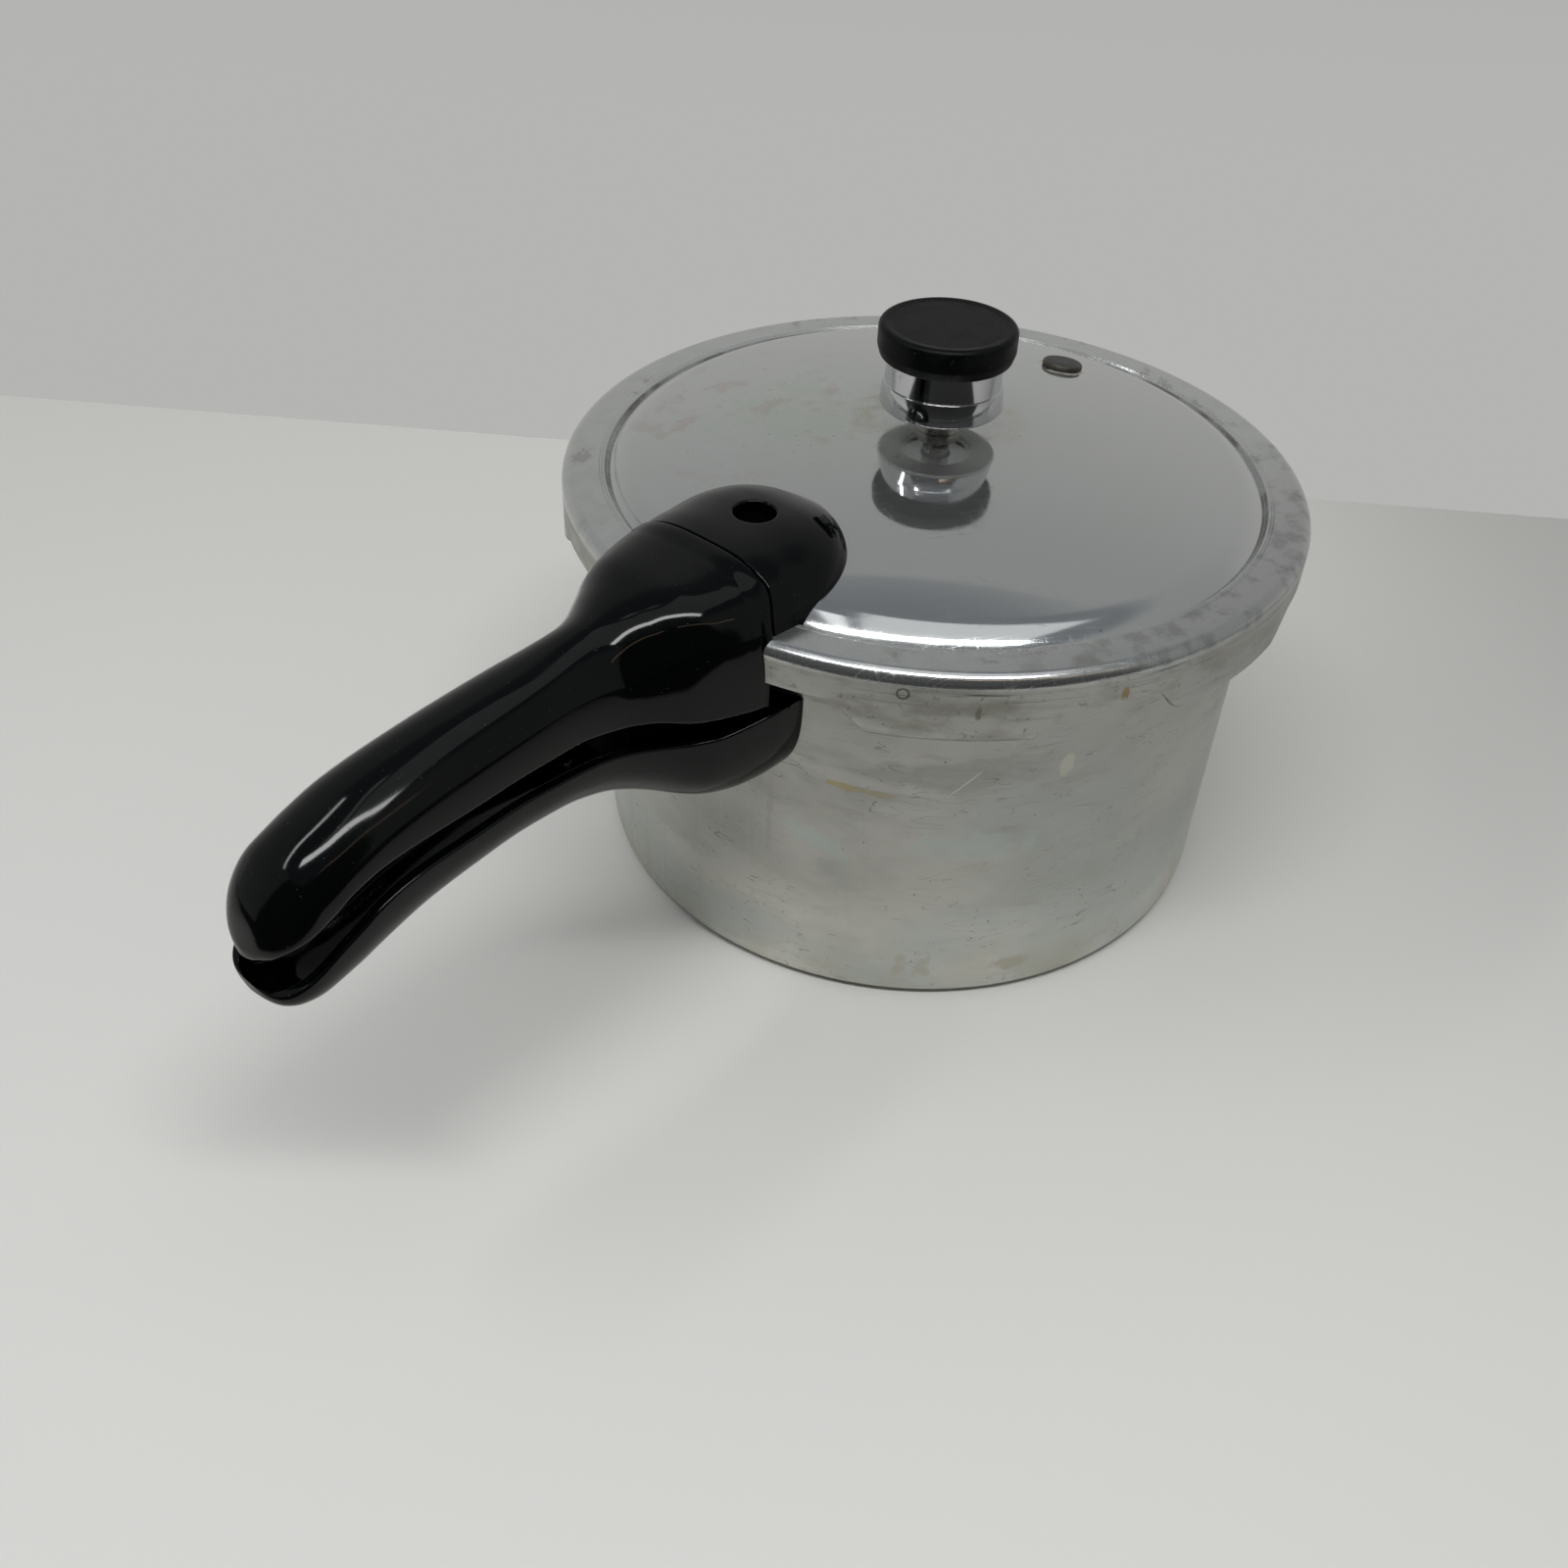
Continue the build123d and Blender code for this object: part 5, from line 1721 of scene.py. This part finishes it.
    def grids(self, cover: Cover) -> tuple[Array, Array, Array]:
        """Work out the outside, the lip and the inside.

        Each section is half of a superellipse over a rounded lip: across is W cos a to the power 2/n and
        height is the spring line plus the rise times sin a to the power 2/n.

        Args:
            cover: Cover that the nose is bedded on.

        Returns:
            Grids of the outside, of one side's lip from its outer end, and of the inside.
        """
        start = self.rows()[:, None]
        cosine, sine = self.columns()
        spread = np.abs(self.half_width(start) * cosine)
        follow = 1 - smooth_step(np.abs(start - self.seam), *self.sweep_reach)
        along = start + self.seam_sweep * smooth_step(spread, *self.sweep_spread) * follow
        inset = self.seam_inset(start - self.seam)
        power = self.fullness(along)
        width = np.maximum(self.half_width(along) - inset * (self.half_width(along) > 1), 0.0)
        ease = self.edge_ease(along)
        foot = self.foot(along)
        spring = foot + ease
        rise = self.crown(along) - inset - spring
        across = width * signed_power(cosine, 2 / power)
        outside = np.stack([along, across, spring + rise * sine ** (2 / power)], axis=-1)

        curl = quarter_turn(6)[None]
        edge = slice(-1, None)
        lip_across = -(width[:, edge] - ease[:, edge] * (1 - np.cos(curl)))
        lip_height = spring[:, edge] - ease[:, edge] * np.sin(curl)
        lip = np.stack([along[:, edge] + 0 * curl, lip_across, lip_height], axis=-1)

        hollow = smooth_step(start, *self.hollow_start)
        extra = np.maximum(width - self.width.values[-1], 0.0)
        inner_half = np.minimum(self.hollow_half_width + self.hollow_flare * extra, width - self.side_skin)
        inner_half = np.maximum(np.minimum(inner_half, width - ease), 0.0)
        inner_across = inner_half * signed_power(cosine, self.hollow_power)
        inner_across = across * (1 - hollow) + inner_across * hollow
        room = smooth_step(start, *self.hollow_rise) * (1 - smooth_step(start, *self.hollow_end))
        inner_rise = np.maximum(self.crown(along) - self.skin - foot, 0.0) * room
        inside = np.stack([along, inner_across, foot + inner_rise * sine**self.hollow_power], axis=-1)
        return self.bedded(outside, cover), self.bedded(lip, cover), self.bedded(inside, cover)

    def bedded(self, grid: Array, cover: Cover) -> Array:
        """Raise what would hang below the cover to the middle of the cover's wall.

        Args:
            grid: Points of the handle.
            cover: Cover that the nose is bedded on.

        Returns:
            Points, raised where they are over the cover.
        """
        radius = np.hypot(grid[..., 0], grid[..., 1])
        over_cover = radius < cover.radius - cover.wall / 2
        bed = cover.bed(grid[..., 0], grid[..., 1])
        height = np.where(over_cover, np.maximum(grid[..., 2], bed), grid[..., 2])
        return np.concatenate([grid[..., :2], height[..., None]], axis=-1)

    def build(self, cover: Cover) -> None:
        """Join the sections into a shell, and cut the window over the lock pin.

        Args:
            cover: Cover that the nose is bedded on.
        """
        outside, lip, inside = self.grids(cover)
        rows, columns = self.hole.block(outside)
        last = outside.shape[1] + lip.shape[1] + inside.shape[1] - 1
        spans = [(columns.start, columns.stop - 1), (last - columns.stop + 1, last - columns.start)]
        loop = edge_loop(outside, rows, columns)
        rings = self.hole.mouth(loop, self.top, -1.0)
        wall = self.hole.ring(loop, self.hole.radius)
        rings.append(np.column_stack([wall, cover.bed(wall[:, 0], wall[:, 1])]))
        rings.append(edge_loop(inside, rows, columns))
        shell = self.cut_out(self.joined(outside, lip, inside), rows, spans)
        patches = [shell, Patch(np.stack(rings), True), self.boss.patch()]
        make_piece("cover_handle_shell", patches, HANDLE_BLACK, "cover", "cover_handle", self.crease)


@dataclass
class LowerHandle(Handle):
    """Black trough under the cover's handle: wide root on the pot's wall, thin rim and open, dished tip.

    A pair of distances is where a form starts and ends.

    Attributes:
        rim: Height of the rim.
        belly: Height of the underside.
        root_end: Distance from the axis at which the root no longer follows the pot's wall.
        rim_land: Width of the rim's flat top.
        inner_share: Radius of the rim's inner edge, as a share of its outer edge's.
        tip_thinning: How much thinner the trough is at the tip.
        hollow_power: Power of the trough's section: 1 is an ellipse, less is squarer.
        screw_seat: Height of the screw hole's end.
    """

    hole: Bore = Bore(128.0, 6.2, 0.5, 8.6)
    boss: Boss = Boss(128.0, 6.5, 82.0, 91.5, top_ease=0.4)
    width: Curve = Curve(
        (90, 97, 102, 107.5, 114, 121.3, 126, 131, 136, 141.6, 147, 153, 160, 235),
        (33, 31.9, 30.7, 29.0, 26.9, 24.2, 21.8, 19.3, 17.3, 15.7, 14.7, 14.2, 14.0, 14.0),
    )
    fullness: Curve = Curve((97, 110, 122, 134, 150, 180, 250), (3.33, 3.38, 3.24, 2.66, 2.39, 2.54, 2.6))
    tip_fullness: float = 2.8
    ease_room: Place = (0.25, 0.3)
    half_columns: int = 51
    crowding: float = 1.5
    rim: Curve = Curve(
        (
            90, 97, 107.5, 114, 121.3, 126, 131, 136, 141.6, 153, 166.5, 176.5, 194.8, 204, 213, 220.6, 226,
            231, 237, 241.7, 244.7, 247, 249.4,
        ),
        (
            106.4, 106.2, 104.2, 102.9, 102.0, 102.0, 102.5, 103.4, 104.7, 106.9, 108.2, 108.8, 107.9, 107.4,
            106.2, 103.9, 101.3, 99.1, 96.2, 94.1, 92.6, 91.5, 91.0,
        ),
    )
    belly: Curve = Curve(
        (97, 104, 110, 116, 122, 128, 134, 142, 152, 164, 178, 192, 206, 218, 228, 236, 242, 246, 249.4),
        (
            76, 74.6, 74.2, 75, 76.8, 79.5, 82.7, 86.8, 90.6, 93.5, 94.3, 93.1, 90.9, 87.4, 84.7, 83.7, 84.8,
            86.6, 89.8,
        ),
    )
    root_end: float = 116.0
    rim_round: float = 0.7
    rim_start: Place = (100.5, 106.0)
    rim_land: float = 1.9
    inner_share: float = 0.5
    skin: float = 3.4
    tip_thinning: float = 1.2
    thin_start: Place = (225.0, 245.0)
    hollow_start: Place = (102.0, 108.0)
    hollow_fall: Place = (103.0, 111.0)
    hollow_power: float = 0.55
    screw_seat: float = 83.5

    def rim_ease(self, along: Array) -> Array:
        """Radius of the rim's edge: none at the root, and less where the section is small."""
        limit = np.maximum(self.edge_limit(along, self.rim(along) - self.belly(along)), 0.0)
        return np.minimum(self.rim_round * smooth_step(along, *self.rim_start), limit)

    def underside(self, along: Array, across: Array) -> Array:
        """Height of the outside under a point of the plan."""
        spring = self.rim(along) - self.rim_ease(along)
        return spring - (spring - self.belly(along)) * self.share(along, across)

    def bent(self, start: Array, cosine: Array, bed: float) -> Array:
        """Bend the root's rows to the pot's wall: a row moves in by less and less of the wall's own bend.

        The place depends on the half width there, so a few rounds are taken.

        Args:
            start: Distance of each row on the handle's middle line.
            cosine: Cosine of each column's angle.
            bed: Radius of the wall's middle.

        Returns:
            Distances along the handle.
        """
        along = start + 0 * cosine
        share = np.clip((start - bed) / (self.root_end - bed), 0.0, 1.0)
        for _ in range(4):
            across = self.half_width(along) * signed_power(cosine, 2 / self.fullness(along))
            wall = np.sqrt(bed**2 - across**2)
            along = np.where(start < self.root_end, wall + share * (self.root_end - wall), start)
        return along

    def grids(self, pot: Pot) -> tuple[Array, Array, Array]:
        """Work out the outside, the rim and the inside of the trough.

        Each section is half of a superellipse hung from a thin rim: across is W cos a to the power 2/n and
        height is the spring line less the drop times sin a to the power 2/n.

        Args:
            pot: Pot that the root is bedded in.

        Returns:
            Grids of the outside, of one side's rim from its outer end, and of the inside.
        """
        bed = pot.radius - pot.wall / 2
        root = np.linspace(bed, self.root_end, 24)
        grip = np.linspace(self.root_end + 0.8, self.tip_start - 0.8, 116)
        start = np.concatenate([root, grip, self.tip()])[:, None]
        cosine, sine = self.columns()
        along = self.bent(start, cosine, bed)
        power = self.fullness(along)
        width = self.half_width(along)
        across = width * signed_power(cosine, 2 / power)
        ease = self.rim_ease(along)
        rim = self.rim(along)
        spring = rim - ease
        drop = spring - self.belly(along)
        outside = np.stack([along, across, spring - drop * sine ** (2 / power)], axis=-1)

        edge = slice(-1, None)
        curl = quarter_turn(5)[None]
        inner_ease = self.inner_share * ease
        out_across = width[:, edge] - ease[:, edge] * (1 - np.cos(curl))
        out_height = spring[:, edge] + ease[:, edge] * np.sin(curl)
        land = self.rim_land / self.rim_round * ease[:, edge]
        land_end = out_across[:, -1:] - land
        in_across = land_end - inner_ease[:, edge] * np.sin(curl)
        in_height = rim[:, edge] - inner_ease[:, edge] * (1 - np.cos(curl))
        rim_across = np.concatenate([out_across, land_end, in_across], axis=1)
        rim_height = np.concatenate([out_height, rim[:, edge], in_height], axis=1)
        lip = np.stack([along[:, edge] + 0 * rim_across, -rim_across, rim_height], axis=-1)

        hollow = smooth_step(start, *self.hollow_start)
        inner_half = np.maximum(width - (ease + inner_ease + land), 0.0)
        inner_across = inner_half * signed_power(cosine, self.hollow_power)
        inner_across = across * (1 - hollow) + inner_across * hollow
        inner_top = rim - inner_ease
        skin = self.skin - self.tip_thinning * smooth_step(start, *self.thin_start)
        inner_drop = np.maximum(inner_top - self.belly(along) - skin, 0.0)
        inner_drop = inner_drop * smooth_step(start, *self.hollow_fall)
        inside = np.stack([along, inner_across, inner_top - inner_drop * sine**self.hollow_power], axis=-1)
        return outside, lip, inside

    def build(self, pot: Pot) -> None:
        """Join the sections into a trough, close its root and sink the hole for the screw's head.

        Args:
            pot: Pot that the root is bedded in.
        """
        outside, lip, inside = self.grids(pot)
        rows, columns = self.hole.block(outside)
        loop = edge_loop(outside, rows, columns)
        rings = self.hole.mouth(loop, self.underside, 1.0)
        for share in (1.0, 0.5, 0.0):
            plan = self.hole.ring(loop, self.hole.radius * share)
            rings.append(np.column_stack([plan, np.full(len(plan), self.screw_seat)]))
        shell = self.cut_out(self.joined(outside, lip, inside), rows, [(columns.start, columns.stop - 1)])
        root = Patch(np.stack([outside[0], inside[0]]))
        patches = [shell, Patch(np.stack(rings), True), root, self.boss.patch()]
        make_piece("pot_handle_shell", patches, HANDLE_BLACK, "pot", "body_handle", self.crease)


# Stage


@dataclass(frozen=True)
class Panel:
    """Rectangular soft light.

    Attributes:
        aim: Point that it faces.
        turn: Azimuth of its length, in degrees.
        radiance: Brightness of its face, where 1 is white.
        mirrored: Whether glossy surfaces show it.
    """

    name: str
    place: Point
    aim: Point
    size: Place
    turn: float
    radiance: float
    colour: Colour = (1.0, 1.0, 1.0)
    mirrored: bool = True

    def build(self) -> None:
        """Hang the light; its power is radiance times pi times its area."""
        length, width = (side * MILLIMETRE for side in self.size)
        data = bpy.data.lights.new(self.name, "AREA")
        data.shape = "RECTANGLE"
        data.size = length
        data.size_y = width
        data.energy = self.radiance * math.pi * length * width
        data.color = self.colour
        away = (Vector(self.place) - Vector(self.aim)).normalized()
        turn = math.radians(self.turn)
        along = Vector((math.cos(turn), math.sin(turn), 0.0))
        along = (along - away * along.dot(away)).normalized()
        axes = Matrix((along, away.cross(along), away)).transposed()
        lamp = bpy.data.objects.new(self.name, data)
        lamp.matrix_world = Matrix.Translation(Vector(self.place) * MILLIMETRE) @ axes.to_4x4()
        lamp.visible_glossy = self.mirrored
        bpy.context.scene.collection.objects.link(lamp)


@dataclass
class Studio:
    """Camera, pale floor, low back wall and soft light.

    Attributes:
        camera_place: Camera in the part's frame.
        roll: Tilt of the camera about its heading, in degrees.
        focal_pixels: Focal length in pixels of an image of the given width.
        near_clip: Nearest distance that the camera shows.
        wall_azimuth: Direction that the back wall faces, in degrees.
        wall_fade: Heights between which the wall turns from its upper colour to the pale one.
        floor_fade: Distances between which the floor turns pale to the camera.
        near_edge: Distances in front of the pot between which mirrors see the floor turn dark.
        pale: Colour of the distance.
    """

    camera_place: Point = (349.4, 237.5, 347.8)
    heading: Point = (-0.5904, -0.4918, -0.6400)
    roll: float = 2.72
    focal_pixels: float = 1547.2
    image_width: float = 1600.0
    sensor: float = 36.0
    near_clip: float = 10.0
    wall_azimuth: float = 36.0
    wall_distance: float = 240.0
    wall_height: float = 515.0
    wall_half_length: float = 2500.0
    wall_fade: Place = (460.0, 150.0)
    wall_top: Colour = (0.35, 0.352, 0.352)
    floor_reach: float = 3000.0
    floor_fade: Place = (800.0, 1700.0)
    floor_light: Colour = (0.72, 0.72, 0.69)
    floor_shade: Colour = (0.52, 0.515, 0.50)
    floor_mottle: Colour = (0.60, 0.60, 0.58)
    near_edge: Place = (300.0, 345.0)
    near_dark: Colour = (0.03, 0.03, 0.03)
    pale: Colour = (0.46, 0.46, 0.45)
    room_sides: Colour = (0.34, 0.345, 0.345)
    room_front: Colour = (0.04, 0.04, 0.042)
    room_above: Colour = (0.165, 0.180, 0.200)
    panels: tuple[Panel, ...] = (
        Panel("wide_panel", (22, 179, 1040), (22, 179, 0), (740, 600), 27.0, 0.65),
        Panel("bright_strip", (340, 237, 1030), (340, 237, 0), (860, 105), 131.4, 21.0),
        Panel("narrow_panel", (285, -120, 1030), (285, -120, 0), (420, 80), 27.0, 1.2),
        Panel("left_panel", (610, -530, 1030), (610, -530, 0), (600, 75), 8.0, 11.0),
        Panel("warm_rail", (200, 740, 780), (60, 60, 120), (700, 16), 138.0, 4.0, (1.0, 0.74, 0.50)),
        Panel("fill", (330, -455, 1400), (0, 0, 0), (2300, 2300), 0.0, 0.18, mirrored=False),
    )

    def camera(self) -> None:
        """Set up the camera at the photograph's viewing angle."""
        data = bpy.data.cameras.new("camera")
        data.sensor_width = self.sensor
        data.lens = self.focal_pixels / self.image_width * self.sensor
        data.clip_start = self.near_clip * MILLIMETRE
        forward = Vector(self.heading).normalized()
        right = forward.cross(Vector((0, 0, 1))).normalized()
        up = right.cross(forward)
        turn = math.radians(self.roll)
        across = right * math.cos(turn) + up * math.sin(turn)
        upward = up * math.cos(turn) - right * math.sin(turn)
        camera = bpy.data.objects.new("camera", data)
        rotation = Matrix((across, upward, -forward)).transposed()
        camera.matrix_world = Matrix.Translation(Vector(self.camera_place) * MILLIMETRE) @ rotation.to_4x4()
        bpy.context.scene.collection.objects.link(camera)
        bpy.context.scene.camera = camera

    def stage_mesh(self, name: str, points: Array, material: bpy.types.Material) -> None:
        """Make a part of the stage.

        Args:
            name: Name of the object.
            points: Grid of points in millimetres.
            material: Its material.
        """
        mesh = bpy.data.meshes.new(name)
        mesh.from_pydata((points.reshape(-1, 3) * MILLIMETRE).tolist(), [], Patch(points).faces(0).tolist())
        mesh.materials.append(material)
        made = bpy.data.objects.new(name, mesh)
        bpy.context.scene.collection.objects.link(made)

    def facing(self) -> Place:
        """Unit direction, in plan, that the back wall faces."""
        turn = math.radians(self.wall_azimuth)
        return math.cos(turn), math.sin(turn)

    def floor(self) -> None:
        """Lay the pale floor: painted shade to the right, fading out towards the front, dark to mirrors
        beyond its near edge, fading far away.
        """
        material = bpy.data.materials.new("pale_floor")
        shader = Shader(material)
        x, y, _ = shader.axes()
        east, north = self.facing()
        forward = x * east + y * north
        # Painted shadow on the floor: darker to the right, fading out towards the front.
        right = (y * east - x * north).ramp(30.0, 330.0) * forward.ramp(230.0, -120.0)
        seen = shader.node("ShaderNodeLightPath", output="Is Camera Ray")
        mirrored = shader.other(seen, "Is Glossy Ray")
        colour = shader.layers(
            self.floor_light,
            (right, self.floor_shade),
            (shader.noise(7.0, 4.0) * 0.10, self.floor_mottle),
            (mirrored * forward.ramp(*self.near_edge), self.near_dark),
        )
        shader.set(base_color=colour, roughness=0.55, specular_ior_level=0.3)
        haze = shader.node("ShaderNodeEmission", inputs={"Color": self.pale, "Strength": 1.0})
        far = seen * plan_length(x, y).ramp(*self.floor_fade)
        shader.show(shader.node("ShaderNodeMixShader", inputs={0: far, 1: shader.plain(), 2: haze}))
        reach = np.linspace(-self.floor_reach, self.floor_reach, 7)
        across, along = np.meshgrid(reach, reach)
        self.stage_mesh("floor", np.stack([across, along, 0 * across], axis=-1), material)

    def wall(self) -> None:
        """Stand the low back wall, which glows by itself as painted light, darker towards its top, and is
        clear from behind.
        """
        material = bpy.data.materials.new("pale_wall")
        shader = Shader(material)
        _, _, height = shader.axes()
        # Painted light: the wall glows by itself, darker towards its top.
        glow = shader.mix(height.ramp(*self.wall_fade), self.wall_top, self.pale)
        front = shader.node("ShaderNodeEmission", inputs={"Color": glow, "Strength": 1.0})
        clear = shader.node("ShaderNodeBsdfTransparent")
        back = shader.node("ShaderNodeNewGeometry", output="Backfacing")
        shader.show(shader.node("ShaderNodeMixShader", inputs={0: back, 1: front, 2: clear}))
        facing = np.array(self.facing())
        side = np.array([-facing[1], facing[0]])
        ends = [-self.wall_half_length, self.wall_half_length]
        along, rise = np.meshgrid(ends, [0.0, self.wall_height])
        plan = along[..., None] * side - facing * self.wall_distance
        self.stage_mesh("back_wall", np.concatenate([plan, rise[..., None]], axis=-1), material)

    def surroundings(self) -> None:
        """Room around the stage: even sides, dim above, and dark behind the camera; pale to the camera."""
        world = bpy.data.worlds.new("surroundings")
        shader = Shader(world)
        x, y, z = shader.split(shader.node("ShaderNodeTexCoord", output="Generated"))
        east, north = self.facing()
        seen = shader.node("ShaderNodeLightPath", output="Is Camera Ray")
        room = shader.layers(
            self.room_sides,
            ((x * east + y * north).ramp(0.42, 0.50), self.room_front),
            (z.ramp(0.72, 0.82), self.room_above),
            (seen, self.pale),
        )
        shader.set(color=room, strength=1.0)
        bpy.context.scene.world = world

    def build(self) -> None:
        """Set up everything around the object."""
        self.camera()
        self.floor()
        self.wall()
        self.surroundings()
        for panel in self.panels:
            panel.build()
        bpy.context.scene.view_settings.view_transform = "Standard"


def dress_nodes() -> None:
    """Give the nodes of the frame that stay in view their finishes."""
    finishes = (RACK_METAL, SEAL_RUBBER, DARK_STEEL_AND_GAP_SHADE, FASTENER_STEEL, VENT_STEEL, PIN_STEEL)
    by_slot = {finish.slot: finish for finish in finishes}
    # The handle screw also gets the near-black steel, as painted shade in the gap between the handles.
    by_node = {"lock_bracket": INSIDE_STEEL, "body_handle_screw": DARK_STEEL_AND_GAP_SHADE}
    for part in frame["record"]["subparts"]:
        finish = by_node.get(part["node"]) or by_slot.get(part["material_slot"])
        node = frame["nodes"][part["node"]]
        if finish and not node.hide_render:
            node.data.materials.clear()
            node.data.materials.append(finish.material())
            LOG.info("%s: %s", part["node"], finish.name)


def main() -> None:
    """Build the cooker's pieces, then the studio around them."""
    logging.basicConfig(level=logging.INFO, format="%(message)s")
    cover = Cover()
    pot = Pot()
    pot.build()
    cover.build()
    Regulator().build()
    Plug().build(cover)
    UpperHandle().build(cover)
    LowerHandle().build(pot)
    dress_nodes()
    Studio().build()


if __name__ == "__main__":
    main()
